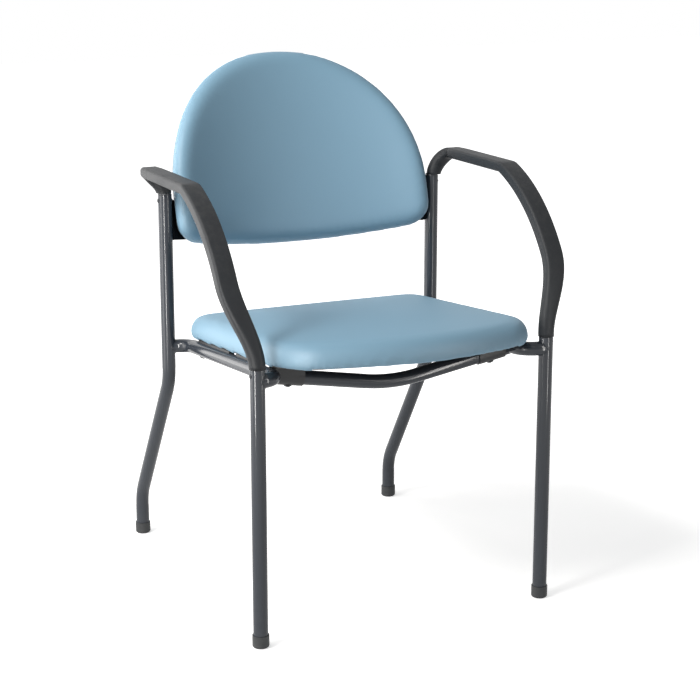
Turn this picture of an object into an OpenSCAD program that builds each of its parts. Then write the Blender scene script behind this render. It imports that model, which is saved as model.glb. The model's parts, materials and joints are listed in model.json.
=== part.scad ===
// Upholstered armchair on a welded tube frame, at its real size in millimetres.
// The chair faces -Y, its left-right symmetry plane is X = 0 and it stands on Z = 0.
// A name ending in _L lies on the -X side and one ending in _R on the +X side.

/* [Frame] */
// Distance between the left and right side frames, centre to centre
frame_w = 473; // [430:1:540]
// Distance from the front legs back to the uprights, centre to centre
frame_d = 386; // [360:1:420]
// Outer diameter of the frame tube
tube_d = 22.2; // [20:0.1:24]
// Wall of the frame tube
tube_wall = 1.6; // [1:0.1:2]
// How far the front legs reach above the side rails, where the arms take over
front_leg_over = 18.5; // [14:0.5:30]
// Height of the uprights, where the arms end
upright_h = 616; // [605:1:622]
// How far the rear feet stand behind the uprights
rear_foot_back = 160; // [120:1:200]
// Height of the knee between the upright and the raked leg
knee_h = 312; // [280:1:330]
// Height of the knee above the rear foot
foot_knee_h = 71; // [60:1:90]
// Centre line radius of both knees
knee_r = 70; // [40:1:90]

/* [Feet] */
// Outer diameter of the foot caps
cap_d = 25.4; // [25:0.1:30]
// Height of the foot caps
cap_h = 19; // [14:0.5:30]
// Rubber under the tube end
cap_floor = 4; // [2.5:0.5:6]
// Rounding of the foot's lower edge
cap_round = 3.4; // [1:0.1:4]

/* [Seat frame] */
// Distance between the side rails, centre to centre
rail_w = 406; // [380:1:410]
// Height of the side rails at the uprights
rail_rear_h = 368; // [355:1:378]
// Forward rise of the seat, in degrees
seat_pitch = 5.4; // [3:0.1:7]
// Centre line radius of the rail bends
rail_bend_r = 30; // [18:1:32]
// Front cross tube, distance in front of the uprights
front_cross_fore = 333; // [315:1:342]
// Slope of the front cross tube on each side of its low middle, in degrees
front_cross_slope = 9.5; // [4:0.1:11]
// Centre line radius of the low middle
front_cross_r = 265; // [120:1:400]
// How far the cross tube's ends lie below the rail centres
front_cross_drop = 2; // [0:0.5:5]
// Rear cross tube, distance in front of the uprights
rear_cross_fore = 46; // [42:1:48]

/* [Seat supports] */
// Length of the saddles on the front cross tube
saddle_len = 46; // [34:1:52]
// Wall of the saddle's sleeve
saddle_wall = 1.8; // [1:0.1:3]
// Distance between the two saddles, centre to centre
saddle_w = 336; // [290:1:338]
// Height of the pads between rail and seat pan
pad_t = 3.3; // [2:0.1:6]
// Width of the pads
pad_w = 9; // [8:0.5:9]
// Length of the rear pads
rear_pad_len = 135; // [100:1:150]
// Length of the front pads
front_pad_len = 84; // [60:1:100]
// How far the pads and rear seat screws stand inboard of the rail centres
pad_inset = 3; // [2:0.5:4]
// Distance of the rear seat screws from the pads' rear ends
pad_screw_run = 8; // [6:1:20]
// Clear length between the front and rear pads
pad_space = 30; // [10:1:60]
// Rear end of the rear pads, distance in front of the uprights
pad_fore = 56; // [50:1:60]

/* [Seat] */
// Width of the seat cushion
seat_w = 425; // [400:1:430]
// Depth of the seat cushion along its sides
seat_side_d = 408; // [400:1:420]
// Gap between the uprights' centres and the seat's rear edge
seat_rear_gap = 8; // [0:1:10]
// How far the middle of the front edge bows forward
seat_front_bow = 56; // [30:1:70]
// How far the middle of the rear edge bows back
seat_rear_bow = 1; // [0:1:8]
// Thickness of the cushion at its edge
seat_t = 37.5; // [34:0.5:50]
// Extra height of the cushion's middle
seat_crown = 5; // [0:0.5:12]
// Rounding of the upper edge
seat_top_r = 22; // [14:1:22]
// Rounding of the lower edge
seat_low_r = 7; // [4:1:8]
// Plan radius of the front corners
seat_front_corner_r = 58; // [45:1:75]
// Plan radius of the rear corners
seat_rear_corner_r = 40; // [30:1:60]
// How far the sides draw in between the corners
seat_draw = 1; // [0:0.5:5]
// Thickness of the seat pan
pan_t = 12; // [9:0.5:15]
// Margin from the cushion's edge to the pan
pan_margin = 9; // [8.5:0.5:9.5]
// Pan above the blind ends of its screw holes
pan_skin = 2; // [1:0.5:3]

/* [Back] */
// Half width of the back cushion
back_half_w = 223; // [210:1:223]
// Height of the dome above the widest line
back_dome_h = 247; // [180:1:280]
// Depth of the straight sides and corners below the widest line
back_skirt_h = 63; // [60:1:80]
// How far the middle of the lower edge bows down
back_low_bow = 10; // [0:1:20]
// Radius of the lower corners
back_corner_r = 34; // [32:1:50]
// How far below the uprights' tops the back's widest line lies, on the symmetry plane
back_drop = 31; // [16:1:41]
// How far the hollow of the back lies behind the uprights, at the widest line
back_back = 52; // [48:1:56]
// Lean of the back from upright, in degrees
recline = 15.5; // [13:0.1:17]
// Radius of the back's hollow
back_curve_r = 400; // [385:1:420]
// Cushion in front of its middle surface
back_fore_t = 20; // [16:1:26]
// Cushion behind its middle surface
back_rear_t = 16; // [15:1:17]
// Rounding of the cushion's front edge
back_fore_r = 22; // [14:1:22]
// Rounding of the cushion's rear edge
back_rear_r = 12; // [6:1:12]
// Extra thickness in the cushion's middle
back_crown = 3; // [0:0.5:8]
// Thickness of the inner back board
back_board_t = 9; // [7:0.5:10]
// Margin from the cushion's edge to the inner board
back_board_margin = 14; // [13:1:15]
// Thickness of the rear shell
shell_t = 4; // [3:0.5:5]
// Margin from the cushion's edge to the shell
shell_margin = 6; // [5:1:9]
// Height of the back brackets
bracket_h = 64; // [54:1:68]
// Thickness of the back brackets
bracket_t = 2; // [1.5:0.1:2.1]
// Top of the brackets above the widest line
bracket_top = 8; // [0:1:12]
// Distance of the bracket screws from the symmetry plane
bracket_screw_x = 186; // [180:1:190]
// Distance between the two screws of one bracket
bracket_screw_h = 28; // [24:1:32]
// Width of the bracket's wing inboard of its screws
bracket_wing = 14; // [10:1:20]
// Front edge of the bracket's ear in front of the upright's centre at its top
ear_fore = 5; // [3:0.5:9]
// Depth of the bracket's ear
ear_d = 26; // [22:1:32]
// Rounding of the ear's lower corners
ear_r = 8; // [4:0.5:10]

/* [Arms] */
// How far the arm's top face lies above the uprights
arm_over = 48.5; // [39:0.5:59]
// Width of the arm's flat section
arm_w = 31; // [27:0.5:34]
// Thickness of the arm along its level top
arm_t = 17; // [14:0.5:20]
// Thickness of the arm along its sweep
arm_sweep_t = 20.5; // [16:0.5:24]
// How far the arm stands outboard of its side frame
arm_out = 30; // [15:0.5:35]
// Radius of the arm's sweep down to the front leg
arm_front_r = 275; // [265:1:285]
// Height above the front leg over which the arm moves outboard
arm_flare_h = 120; // [100:1:160]
// Edge rounding of the arm's flat section
arm_edge_r = 5; // [3:0.5:8]
// Length over which the arm's section changes from round to flat at the front
arm_blend_l = 125; // [80:1:150]
// Length over which its width does so at the rear
neck_blend_l = 70; // [50:1:90]
// Length over which its thickness does so at the rear
neck_thin_l = 48; // [35:1:70]
// Length of the neck over which the arm moves outboard
neck_out_l = 52; // [40:1:60]
// How far the arm's rear end stands outboard of its tube
neck_out = 2.5; // [0:0.5:4]
// How far the arm's rear end stands forward of its tube
neck_fore = 3; // [0:0.5:4]
// Slope of the arm just below the elbow, in degrees
elbow_slope = 20; // [16:1:24]
// Centre line radius of the elbow
elbow_r = 24; // [15:1:40]
// Centre line radius of the rear bend
neck_r = 20.5; // [17:0.5:24]
// Diameter of the arm's ends
arm_end_d = 24.4; // [23:0.1:27]
// Diameter of the steel rod in the arm
rod_d = 10; // [8:0.5:11]
// Length of the spigots that enter the tubes
spigot_len = 34; // [26:1:45]
// Height of the dark collar between upright and arm
arm_collar_h = 3; // [2:0.5:4]
// Diameter of that collar
arm_collar_d = 20.6; // [19.4:0.1:21.4]
// Distance of the arm screws from the tube ends
arm_screw_drop = 10; // [8:0.5:14]

/* [Fasteners] */
// Thread diameter of the seat and back screws
screw_d = 6; // [5:0.5:6.5]
// Head diameter of the seat and back screws
screw_head_d = 13.5; // [11:0.5:14]
// Head height of the seat and back screws
screw_head_h = 3.8; // [3:0.1:6]
// Thread diameter of the arm screws
arm_screw_d = 4.8; // [4:0.1:5.5]
// Head diameter of the arm screws
arm_screw_head_d = 7.4; // [6.5:0.1:9]
// Head height of the arm screws
arm_screw_head_h = 1.6; // [1:0.1:3]
// How far the rear arm screws stand out inboard
arm_screw_tip = 1.4; // [0:0.1:1.8]
// Flange diameter of the tee nuts
nut_flange_d = 19; // [17:0.5:21]
// Barrel diameter of the tee nuts
nut_barrel_d = 8.2; // [8:0.1:9.5]
// Flange thickness of the tee nuts
nut_flange_t = 1.2; // [0.8:0.1:1.5]

/* [Hidden] */
$fn = 96;
// Clearance of a screw in its hole, on the diameter
hole_clear = 0.6;
// Clearance between a soft piece and what it touches
soft_clear = 0.3;
// Clearance of the arm's rod in its pad, and of a spigot in its tube
core_clear = 0.3;
// How much thinner a tube is drawn in its bends, on the diameter
bend_draw = 0.4;
// How far a bend runs on into the straight tube
bend_lap = 1.5;
// Clearance of a tube in its cap
cap_clear = 0.1;
// How far a cutting tool runs past what it cuts
over = 1;
// Clearance of a tee nut in its board
nut_clear = 0.2;
// Screws end this far short of their blind holes or tee nut ends
screw_short = 1.5;
// Radius of a screw head's dome, as a share of a plain spherical cap's
head_rim_share = 1.06;
// Clearance of the rear arm screws' tips in the bracket ears, on the diameter
tip_clear = 1;
// Rings over each rounded edge of a cushion
edge_steps = 5;
// Where the rings lie that crown the seat, as shares of its plan
seat_crown_shares = [0.8, 0.55, 0.25];
// Where the rings lie on the back's rear face and crown, as shares of its outline
back_rear_shares = [0.25, 0.5, 0.75];
back_crown_shares = [0.78, 0.52, 0.26];
// Points per corner of the seat's plan, and between the corners of each edge
seat_quarter = 11;
seat_rear_points = 3;
seat_front_points = 5;

tube_r = tube_d / 2;
bore_d = tube_d - 2 * tube_wall;
side_x = frame_w / 2;
rail_x = rail_w / 2;
cap_r = cap_d / 2;
// Local height of the seat pan's underside above the rail centres
pan_z = tube_r + pad_t;
pad_x = rail_x - pad_inset;
seat_half_w = seat_w / 2;
// The origin is the centre of the chair's footprint box
front_reach = (seat_rear_gap + seat_side_d + seat_front_bow) * cos(seat_pitch)
    - (pan_z + seat_low_r) * sin(seat_pitch);
rear_reach = rear_foot_back + cap_r;
upright_y = (front_reach - rear_reach) / 2;
front_leg_y = upright_y - frame_d;
front_leg_h = rail_rear_h + frame_d * tan(seat_pitch) + front_leg_over;
rear_foot_y = upright_y + rear_foot_back;
// Rake of the rear leg between its knees
rake = atan(rear_foot_back / (knee_h - foot_knee_h));
knee_tangent = knee_r * tan(rake / 2);
// The rail's length between its two stubs, in the pitched frame
rail_len = frame_d / cos(seat_pitch);
// Where the front pads begin
front_pad_fore = pad_fore + rear_pad_len + pad_space;
// Screw places in the pitched frame
rear_screw_fore = pad_fore + pad_screw_run;
front_screw_x = saddle_w / 2;
// Rise of the front cross tube from its low middle to its ends
front_cross_rise = front_cross_r * (1 - cos(front_cross_slope))
    + (rail_x - front_cross_r * sin(front_cross_slope)) * tan(front_cross_slope);
front_cross_low = -front_cross_drop - front_cross_rise;
// Height of the cross tube's centre line over the saddles
saddle_z = -front_cross_drop - (rail_x - front_screw_x) * tan(front_cross_slope);
saddle_d = tube_d + 2 * saddle_wall;
saddle_low_z = saddle_z - saddle_d / 2 / cos(front_cross_slope);
// Depth of the flat seat that is cut into the sleeve for the screw head
saddle_seat = saddle_wall / 2;

// Shared shapes

// A child in its own colour, as built on the +X side, or mirrored to the -X side
module on_side(side) {
    mirror([side < 0 ? 1 : 0, 0, 0]) children();
}

// A flat shape's X and Y laid on the chair's Y and Z
module in_side_plane() {
    rotate([90, 0, 90]) children();
}

// A bend of a round tube about the Z axis, from one angle through a sweep, drawn a hair
// thinner than the straight tube and running a little way into it at both ends
module bend(r, d, from, sweep) {
    lap = bend_lap / r * 180 / PI;
    rotate([0, 0, from - lap]) rotate_extrude(angle = sweep + 2 * lap)
        translate([r, 0]) circle(d = d - bend_draw);
}

// The pitched frame: Y = 0 at the uprights, Z = 0 at the rail centres, forward is -Y
module pitched() {
    translate([0, upright_y, rail_rear_h]) rotate([-seat_pitch, 0, 0]) children();
}

// An upright tube's outside, seen from the pitched frame
module upright_tool(x, fore) {
    translate([x, -fore, 0]) rotate([seat_pitch, 0, 0])
        cylinder(d = tube_d, h = 4 * tube_d, center = true);
}

// A screw with a low round head, its thread pointing up from the head's seat at Z = 0
module round_screw(d, len, head_d, head_h) {
    cylinder(d = d, h = len);
    rotate_extrude() intersection() {
        translate([0, -head_h]) square([head_d / 2, head_h]);
        translate([0, -head_h + dome_r(head_d, head_h)]) circle(r = dome_r(head_d, head_h));
    }
}
// Radius of the dome that covers a head, steeper than a plain cap at its rim
function dome_r(head_d, head_h) = head_rim_share * (head_d * head_d / 4 + head_h * head_h) / (2 * head_h);

// A closed skin over rings of points, each ring with the same number of points
module ring_skin(rings) {
    n = len(rings[0]);
    m = len(rings);
    points = [for (ring = rings) each ring];
    sides = [for (j = [0:m - 2]) for (i = [0:n - 1]) each [
        [j * n + i, (j + 1) * n + i, (j + 1) * n + (i + 1) % n],
        [j * n + i, (j + 1) * n + (i + 1) % n, j * n + (i + 1) % n],
    ]];
    polyhedron(points, sides, convexity = 8);
}

// The same skin, closed at each end by a point
module capped_skin(first, rings, last) {
    n = len(rings[0]);
    m = len(rings);
    points = concat([first], [for (ring = rings) each ring], [last]);
    ends = [for (i = [0:n - 1]) each [
        [0, 1 + i, 1 + (i + 1) % n],
        [m * n + 1, (m - 1) * n + 1 + (i + 1) % n, (m - 1) * n + 1 + i],
    ]];
    sides = [for (j = [0:m - 2]) for (i = [0:n - 1]) each [
        [1 + j * n + i, 1 + (j + 1) * n + i, 1 + (j + 1) * n + (i + 1) % n],
        [1 + j * n + i, 1 + (j + 1) * n + (i + 1) % n, 1 + j * n + (i + 1) % n],
    ]];
    polyhedron(points, concat(ends, sides), convexity = 8);
}

// Legs

module front_leg(side) {
    color("#4b4f54") on_side(side) translate([side_x, front_leg_y, 0]) difference() {
        translate([0, 0, cap_floor]) cylinder(d = tube_d, h = front_leg_h - cap_floor);
        cylinder(d = bore_d, h = front_leg_h + over);
        translate([0, 0, front_leg_h - arm_screw_drop]) rotate([0, 90, 0])
            cylinder(d = arm_screw_d + hole_clear, h = tube_d);
    }
}

// The rear leg's centre line as a solid round bar, run past both ends by a length
module rear_leg_bar(d, past) {
    upper_z = knee_h + knee_tangent;
    lower_z = foot_knee_h - knee_tangent;
    translate([0, 0, upper_z]) cylinder(d = d, h = upright_h + past - upper_z);
    translate([0, rear_foot_back, cap_floor - past]) cylinder(d = d, h = lower_z - cap_floor + past);
    translate([0, knee_r, upper_z]) in_side_plane() bend(knee_r, d, 180, rake);
    translate([0, rear_foot_back - knee_r, lower_z]) in_side_plane() bend(knee_r, d, 0, rake);
    translate([0, knee_r * (1 - cos(rake)), upper_z - knee_r * sin(rake)]) rotate([180 + rake, 0, 0])
        cylinder(d = d, h = norm([rear_foot_back, knee_h - foot_knee_h]) - 2 * knee_tangent);
}

module rear_leg(side) {
    color("#4b4f54") on_side(side) translate([side_x, upright_y, 0]) difference() {
        rear_leg_bar(tube_d, 0);
        rear_leg_bar(bore_d, over);
        translate([0, 0, upright_h - arm_screw_drop]) rotate([0, 90, 0])
            cylinder(d = arm_screw_d + hole_clear, h = tube_d + 2 * over, center = true);
    }
}

module foot_cap(side, y) {
    color("#2e3134") on_side(side) translate([side_x, y, 0]) rotate_extrude() difference() {
        union() {
            translate([0, cap_round]) square([cap_r, cap_h - cap_round]);
            square([cap_r - cap_round, cap_round]);
            translate([cap_r - cap_round, cap_round]) circle(r = cap_round);
        }
        translate([0, cap_floor]) square([tube_r + cap_clear, cap_h]);
        translate([-cap_r, 0]) square([cap_r, cap_h]);
    }
}

// Seat frame

// The side rail's centre line as a solid round bar, in the pitched frame
module side_rail_bar(d) {
    inner_y = rail_len - rail_bend_r;
    stub = side_x - rail_x - rail_bend_r;
    translate([rail_x, -rail_bend_r, 0]) rotate([90, 0, 0]) cylinder(d = d, h = rail_len - 2 * rail_bend_r);
    translate([rail_x + rail_bend_r, -rail_bend_r, 0]) bend(rail_bend_r, d, 90, 90);
    translate([rail_x + rail_bend_r, -inner_y, 0]) bend(rail_bend_r, d, 180, 90);
    for (fore = [0, rail_len])
        translate([rail_x + rail_bend_r, -fore, 0]) rotate([0, 90, 0]) cylinder(d = d, h = stub);
}

module side_rail(side) {
    color("#4b4f54") pitched() on_side(side) difference() {
        side_rail_bar(tube_d);
        side_rail_bar(bore_d);
        upright_tool(side_x, 0);
        upright_tool(side_x, rail_len);
        translate([pad_x, -rear_screw_fore, 0])
            cylinder(d = screw_d + hole_clear, h = tube_d + 2 * over, center = true);
    }
}

// The front cross tube's centre line as a solid round bar, in the pitched frame
module front_cross_bar(d) {
    reach = (rail_x - front_cross_r * sin(front_cross_slope)) / cos(front_cross_slope);
    translate([0, -front_cross_fore, front_cross_low + front_cross_r]) rotate([90, 0, 0])
        bend(front_cross_r, d, 270 - front_cross_slope, 2 * front_cross_slope);
    for (side = [-1, 1]) on_side(side)
        translate([
            front_cross_r * sin(front_cross_slope), -front_cross_fore,
            front_cross_low + front_cross_r * (1 - cos(front_cross_slope)),
        ])
        rotate([0, 90 - front_cross_slope, 0]) cylinder(d = d, h = reach);
}

module front_cross_tube() {
    color("#3b3e42") pitched() difference() {
        front_cross_bar(tube_d);
        front_cross_bar(bore_d);
        for (side = [-1, 1]) on_side(side) {
            translate([rail_x, 0, 0]) rotate([90, 0, 0]) cylinder(d = tube_d, h = rail_len);
            translate([front_screw_x, -front_cross_fore, saddle_z])
                cylinder(d = screw_d + hole_clear, h = 2 * tube_d, center = true);
        }
    }
}

module rear_cross_tube() {
    color("#3b3e42") pitched() translate([0, -rear_cross_fore, 0]) difference() {
        rotate([0, 90, 0]) cylinder(d = tube_d, h = rail_w, center = true);
        rotate([0, 90, 0]) cylinder(d = bore_d, h = rail_w + over, center = true);
        for (side = [-1, 1]) on_side(side)
            translate([rail_x, 0, 0]) rotate([90, 0, 0]) cylinder(d = tube_d, h = 2 * tube_d, center = true);
    }
}

// A sleeve on the cross tube with a block that carries the seat pan
module front_saddle(side) {
    color("#222426") pitched() on_side(side) translate([front_screw_x, -front_cross_fore, 0]) difference() {
        union() {
            translate([0, 0, saddle_z]) rotate([0, 90 - front_cross_slope, 0])
                cylinder(d = saddle_d, h = saddle_len, center = true);
            translate([-saddle_len / 2, -saddle_d / 2, saddle_z])
                cube([saddle_len, saddle_d, pan_z - saddle_z]);
        }
        translate([0, 0, saddle_z]) rotate([0, 90 - front_cross_slope, 0])
            cylinder(d = tube_d, h = 2 * saddle_len, center = true);
        translate([0, 0, saddle_low_z - over]) {
            cylinder(d = screw_d + hole_clear, h = pan_z - saddle_low_z + 2 * over);
            cylinder(d = screw_head_d + hole_clear, h = over + saddle_seat);
        }
    }
}

// A pad with a hollow underside that rides on a side rail
module rail_pad(side, fore, len) {
    color("#222426") pitched() on_side(side) difference() {
        translate([pad_x - pad_w / 2, -fore - len, 0]) cube([pad_w, len, pan_z]);
        translate([rail_x, 0, 0]) rotate([90, 0, 0]) cylinder(d = tube_d, h = rail_len);
        translate([pad_x, -rear_screw_fore, 0]) cylinder(d = screw_d + hole_clear, h = pan_z + over);
    }
}

// Seat

// A corner's points, as an arc about its centre
function arc_points(cx, cy, r, from, count) =
    [for (i = [0:count - 1]) let (a = from + 90 * i / (count - 1)) [cx + r * cos(a), cy + r * sin(a)]];

// Bow of the front and rear edges, and draw of the sides, laid over a plain rounded plan
function seat_shaped(p, hw, hd) =
    let (fore = max(0, -p[1] / hd), aft = max(0, p[1] / hd), across = p[0] / hw)
    [
        p[0] * (1 - seat_draw / seat_half_w * (1 - pow(p[1] / hd, 2))),
        p[1] - seat_front_bow * fore * (1 - across * across) + seat_rear_bow * aft * (1 - across * across),
    ];

// The seat's plan, drawn in by an inset all round, counterclockwise from above
function seat_plan(inset) =
    let (
        hw = seat_half_w - inset, hd = seat_side_d / 2 - inset,
        rr = max(seat_rear_corner_r - inset, seat_low_r), rf = max(seat_front_corner_r - inset, seat_low_r),
        plain = concat(
            arc_points(hw - rr, hd - rr, rr, 0, seat_quarter),
            [for (i = [1:seat_rear_points]) [(hw - rr) * (1 - 2 * i / (seat_rear_points + 1)), hd]],
            arc_points(-hw + rr, hd - rr, rr, 90, seat_quarter),
            arc_points(-hw + rf, -hd + rf, rf, 180, seat_quarter),
            [for (i = [1:seat_front_points]) [(hw - rf) * (2 * i / (seat_front_points + 1) - 1), -hd]],
            arc_points(hw - rf, -hd + rf, rf, 270, seat_quarter)
        )
    )
    [for (p = plain) seat_shaped(p, hw, hd)];

// Centre of the seat's plan in the pitched frame
seat_mid_y = -seat_rear_gap - seat_side_d / 2;

// A ring of the plan shrunk towards its middle, at a height
function seat_ring(inset, share, z) =
    [for (p = seat_plan(inset)) [p[0] * share, seat_mid_y + p[1] * share, z]];

// Local height of the cushion's edge crest
seat_top_z = pan_z + seat_t;

module seat_cushion() {
    pocket = pan_margin - soft_clear;
    low = [for (i = [0:edge_steps - 1]) let (a = 90 * i / (edge_steps - 1))
        seat_ring(seat_low_r * (1 - sin(a)), 1, pan_z + seat_low_r * (1 - cos(a)))];
    high = [for (i = [0:edge_steps]) let (a = 90 * i / edge_steps)
        seat_ring(seat_top_r * (1 - cos(a)), 1, seat_top_z - seat_top_r * (1 - sin(a)))];
    crown = [for (share = seat_crown_shares)
        seat_ring(seat_top_r, share, seat_top_z + seat_crown * (1 - share * share))];
    color("#9dbdd0") pitched() capped_skin(
        [0, seat_mid_y, pan_z + pan_t + soft_clear],
        concat(
            [seat_ring(pocket, 1, pan_z + pan_t + soft_clear), seat_ring(pocket, 1, pan_z)],
            low, high, crown
        ),
        [0, seat_mid_y, seat_top_z + seat_crown]
    );
}

// A moulded pan with a blind hole for each seat screw
module seat_pan() {
    hole_h = pan_t - pan_skin + over;
    color("#222426") pitched() difference() {
        translate([0, 0, pan_z]) linear_extrude(pan_t)
            polygon([for (p = seat_plan(pan_margin)) [p[0], seat_mid_y + p[1]]]);
        for (side = [-1, 1], place = [[pad_x, rear_screw_fore], [front_screw_x, front_cross_fore]])
            translate([side * place[0], -place[1], pan_z - over]) cylinder(d = screw_d, h = hole_h);
    }
}

module seat_screws() {
    top = pan_z + pan_t - pan_skin - screw_short;
    color("#2a2c2e") pitched() for (side = [-1, 1]) {
        translate([side * pad_x, -rear_screw_fore, -tube_r])
            round_screw(screw_d, top + tube_r, screw_head_d, screw_head_h);
        translate([side * front_screw_x, -front_cross_fore, saddle_low_z + saddle_seat])
            round_screw(screw_d, top - saddle_low_z - saddle_seat, screw_head_d, screw_head_h);
    }
}

// A tee nut that hangs from its flange, with the flange's top at Z = 0
module tee_nut(len) {
    difference() {
        union() {
            translate([0, 0, -nut_flange_t]) cylinder(d = nut_flange_d, h = nut_flange_t);
            translate([0, 0, -len]) cylinder(d = nut_barrel_d, h = len);
        }
        translate([0, 0, -len - over]) cylinder(d = screw_d, h = len + 2 * over);
    }
}

// Back

// Points on the dome, on each lower corner, and between the corners
dome_count = 25;
corner_count = 6;
low_edge_count = 7;

// Height of the widest line above the floor, on the symmetry plane
back_h = upright_h - back_drop;

// The back's frame: Z runs up the lean from the widest line, and -Y is forward
module leaned() {
    translate([0, upright_y + back_back, back_h]) rotate([-recline, 0, 0]) children();
}

// Y in the back's frame of the surface that lies at an offset in front of the hollow's
function hollow_y(x, offset) =
    sqrt(pow(back_curve_r - offset, 2) - x * x) - back_curve_r;

// Power that makes the dome fuller at its shoulders than an ellipse
dome_power_share = 0.945;
function fuller(v) = sign(v) * pow(abs(v), dome_power_share);

// The back's outline, drawn in by an inset, as X and the height up the lean
function back_outline(inset) =
    let (
        hw = back_half_w - inset, low = -back_skirt_h + inset,
        r = max(back_corner_r - inset, back_rear_r), run = hw - r,
        plain = concat(
            [for (i = [0:dome_count - 1]) let (a = 180 * i / (dome_count - 1))
                [hw * fuller(cos(a)), (back_dome_h - inset) * fuller(sin(a))]],
            arc_points(-run, low + r, r, 180, corner_count),
            [for (i = [1:low_edge_count]) [run * (2 * i / (low_edge_count + 1) - 1), low]],
            arc_points(run, low + r, r, 270, corner_count)
        )
    )
    [for (p = plain) p[1] >= 0 ? p : [p[0], p[1] - back_low_bow * (1 - pow(p[0] / hw, 2)) * p[1] / low]];

// Middle height of the outline, to which its inner rings shrink
back_mid_h = (back_dome_h - back_skirt_h) / 2;

// A ring of the outline shrunk towards its middle, at an offset in front of the middle surface
function back_ring(inset, share, offset) =
    [for (p = back_outline(inset)) let (x = p[0] * share)
        [x, hollow_y(x, offset), back_mid_h + (p[1] - back_mid_h) * share]];

function back_mid(offset) = [0, -offset, back_mid_h];

// A curved sheet of the back's outline between two offsets
module back_sheet(inset, rear_o, fore_o) {
    reach = back_curve_r - rear_o;
    intersection() {
        translate([0, -back_curve_r, -reach]) difference() {
            cylinder(r = reach, h = 2 * reach);
            translate([0, 0, -over]) cylinder(r = back_curve_r - fore_o, h = 2 * reach + 2 * over);
        }
        rotate([90, 0, 0]) linear_extrude(2 * back_curve_r, center = true) polygon(back_outline(inset));
        translate([-reach, -back_curve_r, -reach]) cube(2 * reach);
    }
}

// Offsets of the shell's two faces and of the inner board's front face
shell_fore_o = -back_rear_t - soft_clear;
shell_rear_o = shell_fore_o - shell_t;
back_board_o = shell_fore_o + back_board_t;

module back_cushion() {
    rear = [for (i = [0:edge_steps - 1]) let (a = 90 * i / (edge_steps - 1))
        back_ring(back_rear_r * (1 - sin(a)), 1, -back_rear_t + back_rear_r * (1 - cos(a)))];
    fore = [for (i = [0:edge_steps]) let (a = 90 * i / edge_steps)
        back_ring(back_fore_r * (1 - cos(a)), 1, back_fore_t - back_fore_r * (1 - sin(a)))];
    color("#8fb3c9") leaned() difference() {
        capped_skin(
            back_mid(-back_rear_t),
            concat(
                [for (share = back_rear_shares) back_ring(back_rear_r, share, -back_rear_t)],
                rear, fore,
                [for (share = back_crown_shares)
                    back_ring(back_fore_r, share, back_fore_t + back_crown * (1 - share * share))]
            ),
            back_mid(back_fore_t + back_crown)
        );
        back_sheet(back_board_margin - soft_clear, shell_fore_o - over, back_board_o + soft_clear);
    }
}

// Lean of the bracket screws from the symmetry plane
bracket_turn = asin(bracket_screw_x / (back_curve_r - shell_rear_o));

// At the bracket screws on the shell's rear face: X runs outboard along it, Y out of it
module at_bracket_screws() {
    for (step = [-1, 1])
        translate([
            bracket_screw_x, hollow_y(bracket_screw_x, shell_rear_o),
            bracket_top - bracket_h / 2 + step * bracket_screw_h / 2,
        ])
        rotate([0, 0, -bracket_turn]) children();
}

// An angled plate: an ear on the upright and a wing flat against the shell
module back_bracket(side) {
    out_x = side_x - tube_r;
    in_x = out_x - bracket_t;
    wing_x = bracket_screw_x - bracket_wing * cos(bracket_turn);
    wing_y = hollow_y(bracket_screw_x, shell_rear_o) + bracket_wing * sin(bracket_turn);
    join_y = hollow_y(bracket_screw_x, shell_rear_o) - (in_x - bracket_screw_x) * tan(bracket_turn);
    fore_y = join_y - ear_fore;
    color("#1c1d1f") difference() {
        leaned() on_side(side) difference() {
            translate([0, 0, bracket_top - bracket_h]) linear_extrude(bracket_h) polygon([
                [wing_x, wing_y],
                [in_x, join_y],
                [in_x, fore_y],
                [out_x, fore_y],
                [out_x, fore_y + ear_d],
                [in_x, fore_y + ear_d],
                [in_x, join_y + bracket_t / cos(bracket_turn)],
                [wing_x + bracket_t * sin(bracket_turn), wing_y + bracket_t * cos(bracket_turn)],
            ]);
            at_bracket_screws() rotate([90, 0, 0])
                cylinder(d = screw_d + hole_clear, h = 4 * bracket_t, center = true);
            for (edge = [[fore_y, 1], [fore_y + ear_d, -1]])
                translate([in_x - over, edge[0], bracket_top - bracket_h]) in_side_plane()
                    linear_extrude(bracket_t + 2 * over) scale([edge[1], 1]) difference() {
                        translate([-over, -over]) square(ear_r + over);
                        translate([ear_r, ear_r]) circle(r = ear_r);
                    }
        }
        on_side(side) translate([out_x - arm_screw_tip, upright_y, upright_h - arm_screw_drop])
            rotate([0, 90, 0]) cylinder(d = arm_screw_d + tip_clear, h = 4 * bracket_t, center = true);
    }
}

module back_shell() {
    color("#1c1d1f") leaned() difference() {
        back_sheet(shell_margin, shell_rear_o, shell_fore_o);
        for (side = [-1, 1]) on_side(side) at_bracket_screws() rotate([90, 0, 0])
            cylinder(d = screw_d + hole_clear, h = 4 * shell_t, center = true);
    }
}

// Distance from the shell's rear face to the inner board's front face
back_stack = shell_t + back_board_t;

module back_board() {
    color("#7a6248") leaned() difference() {
        back_sheet(back_board_margin, shell_fore_o, back_board_o);
        for (side = [-1, 1]) on_side(side) at_bracket_screws() rotate([90, 0, 0]) {
            cylinder(d = nut_barrel_d + nut_clear, h = back_stack + over);
            translate([0, 0, back_stack - nut_flange_t - nut_clear])
                cylinder(d = nut_flange_d + nut_clear, h = nut_flange_t + 4 * over);
        }
    }
}

module back_tee_nuts() {
    color("#b9bcc0") leaned() for (side = [-1, 1]) on_side(side) at_bracket_screws() rotate([90, 0, 0])
        translate([0, 0, back_stack - nut_clear]) tee_nut(back_board_t - nut_clear);
}

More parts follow.
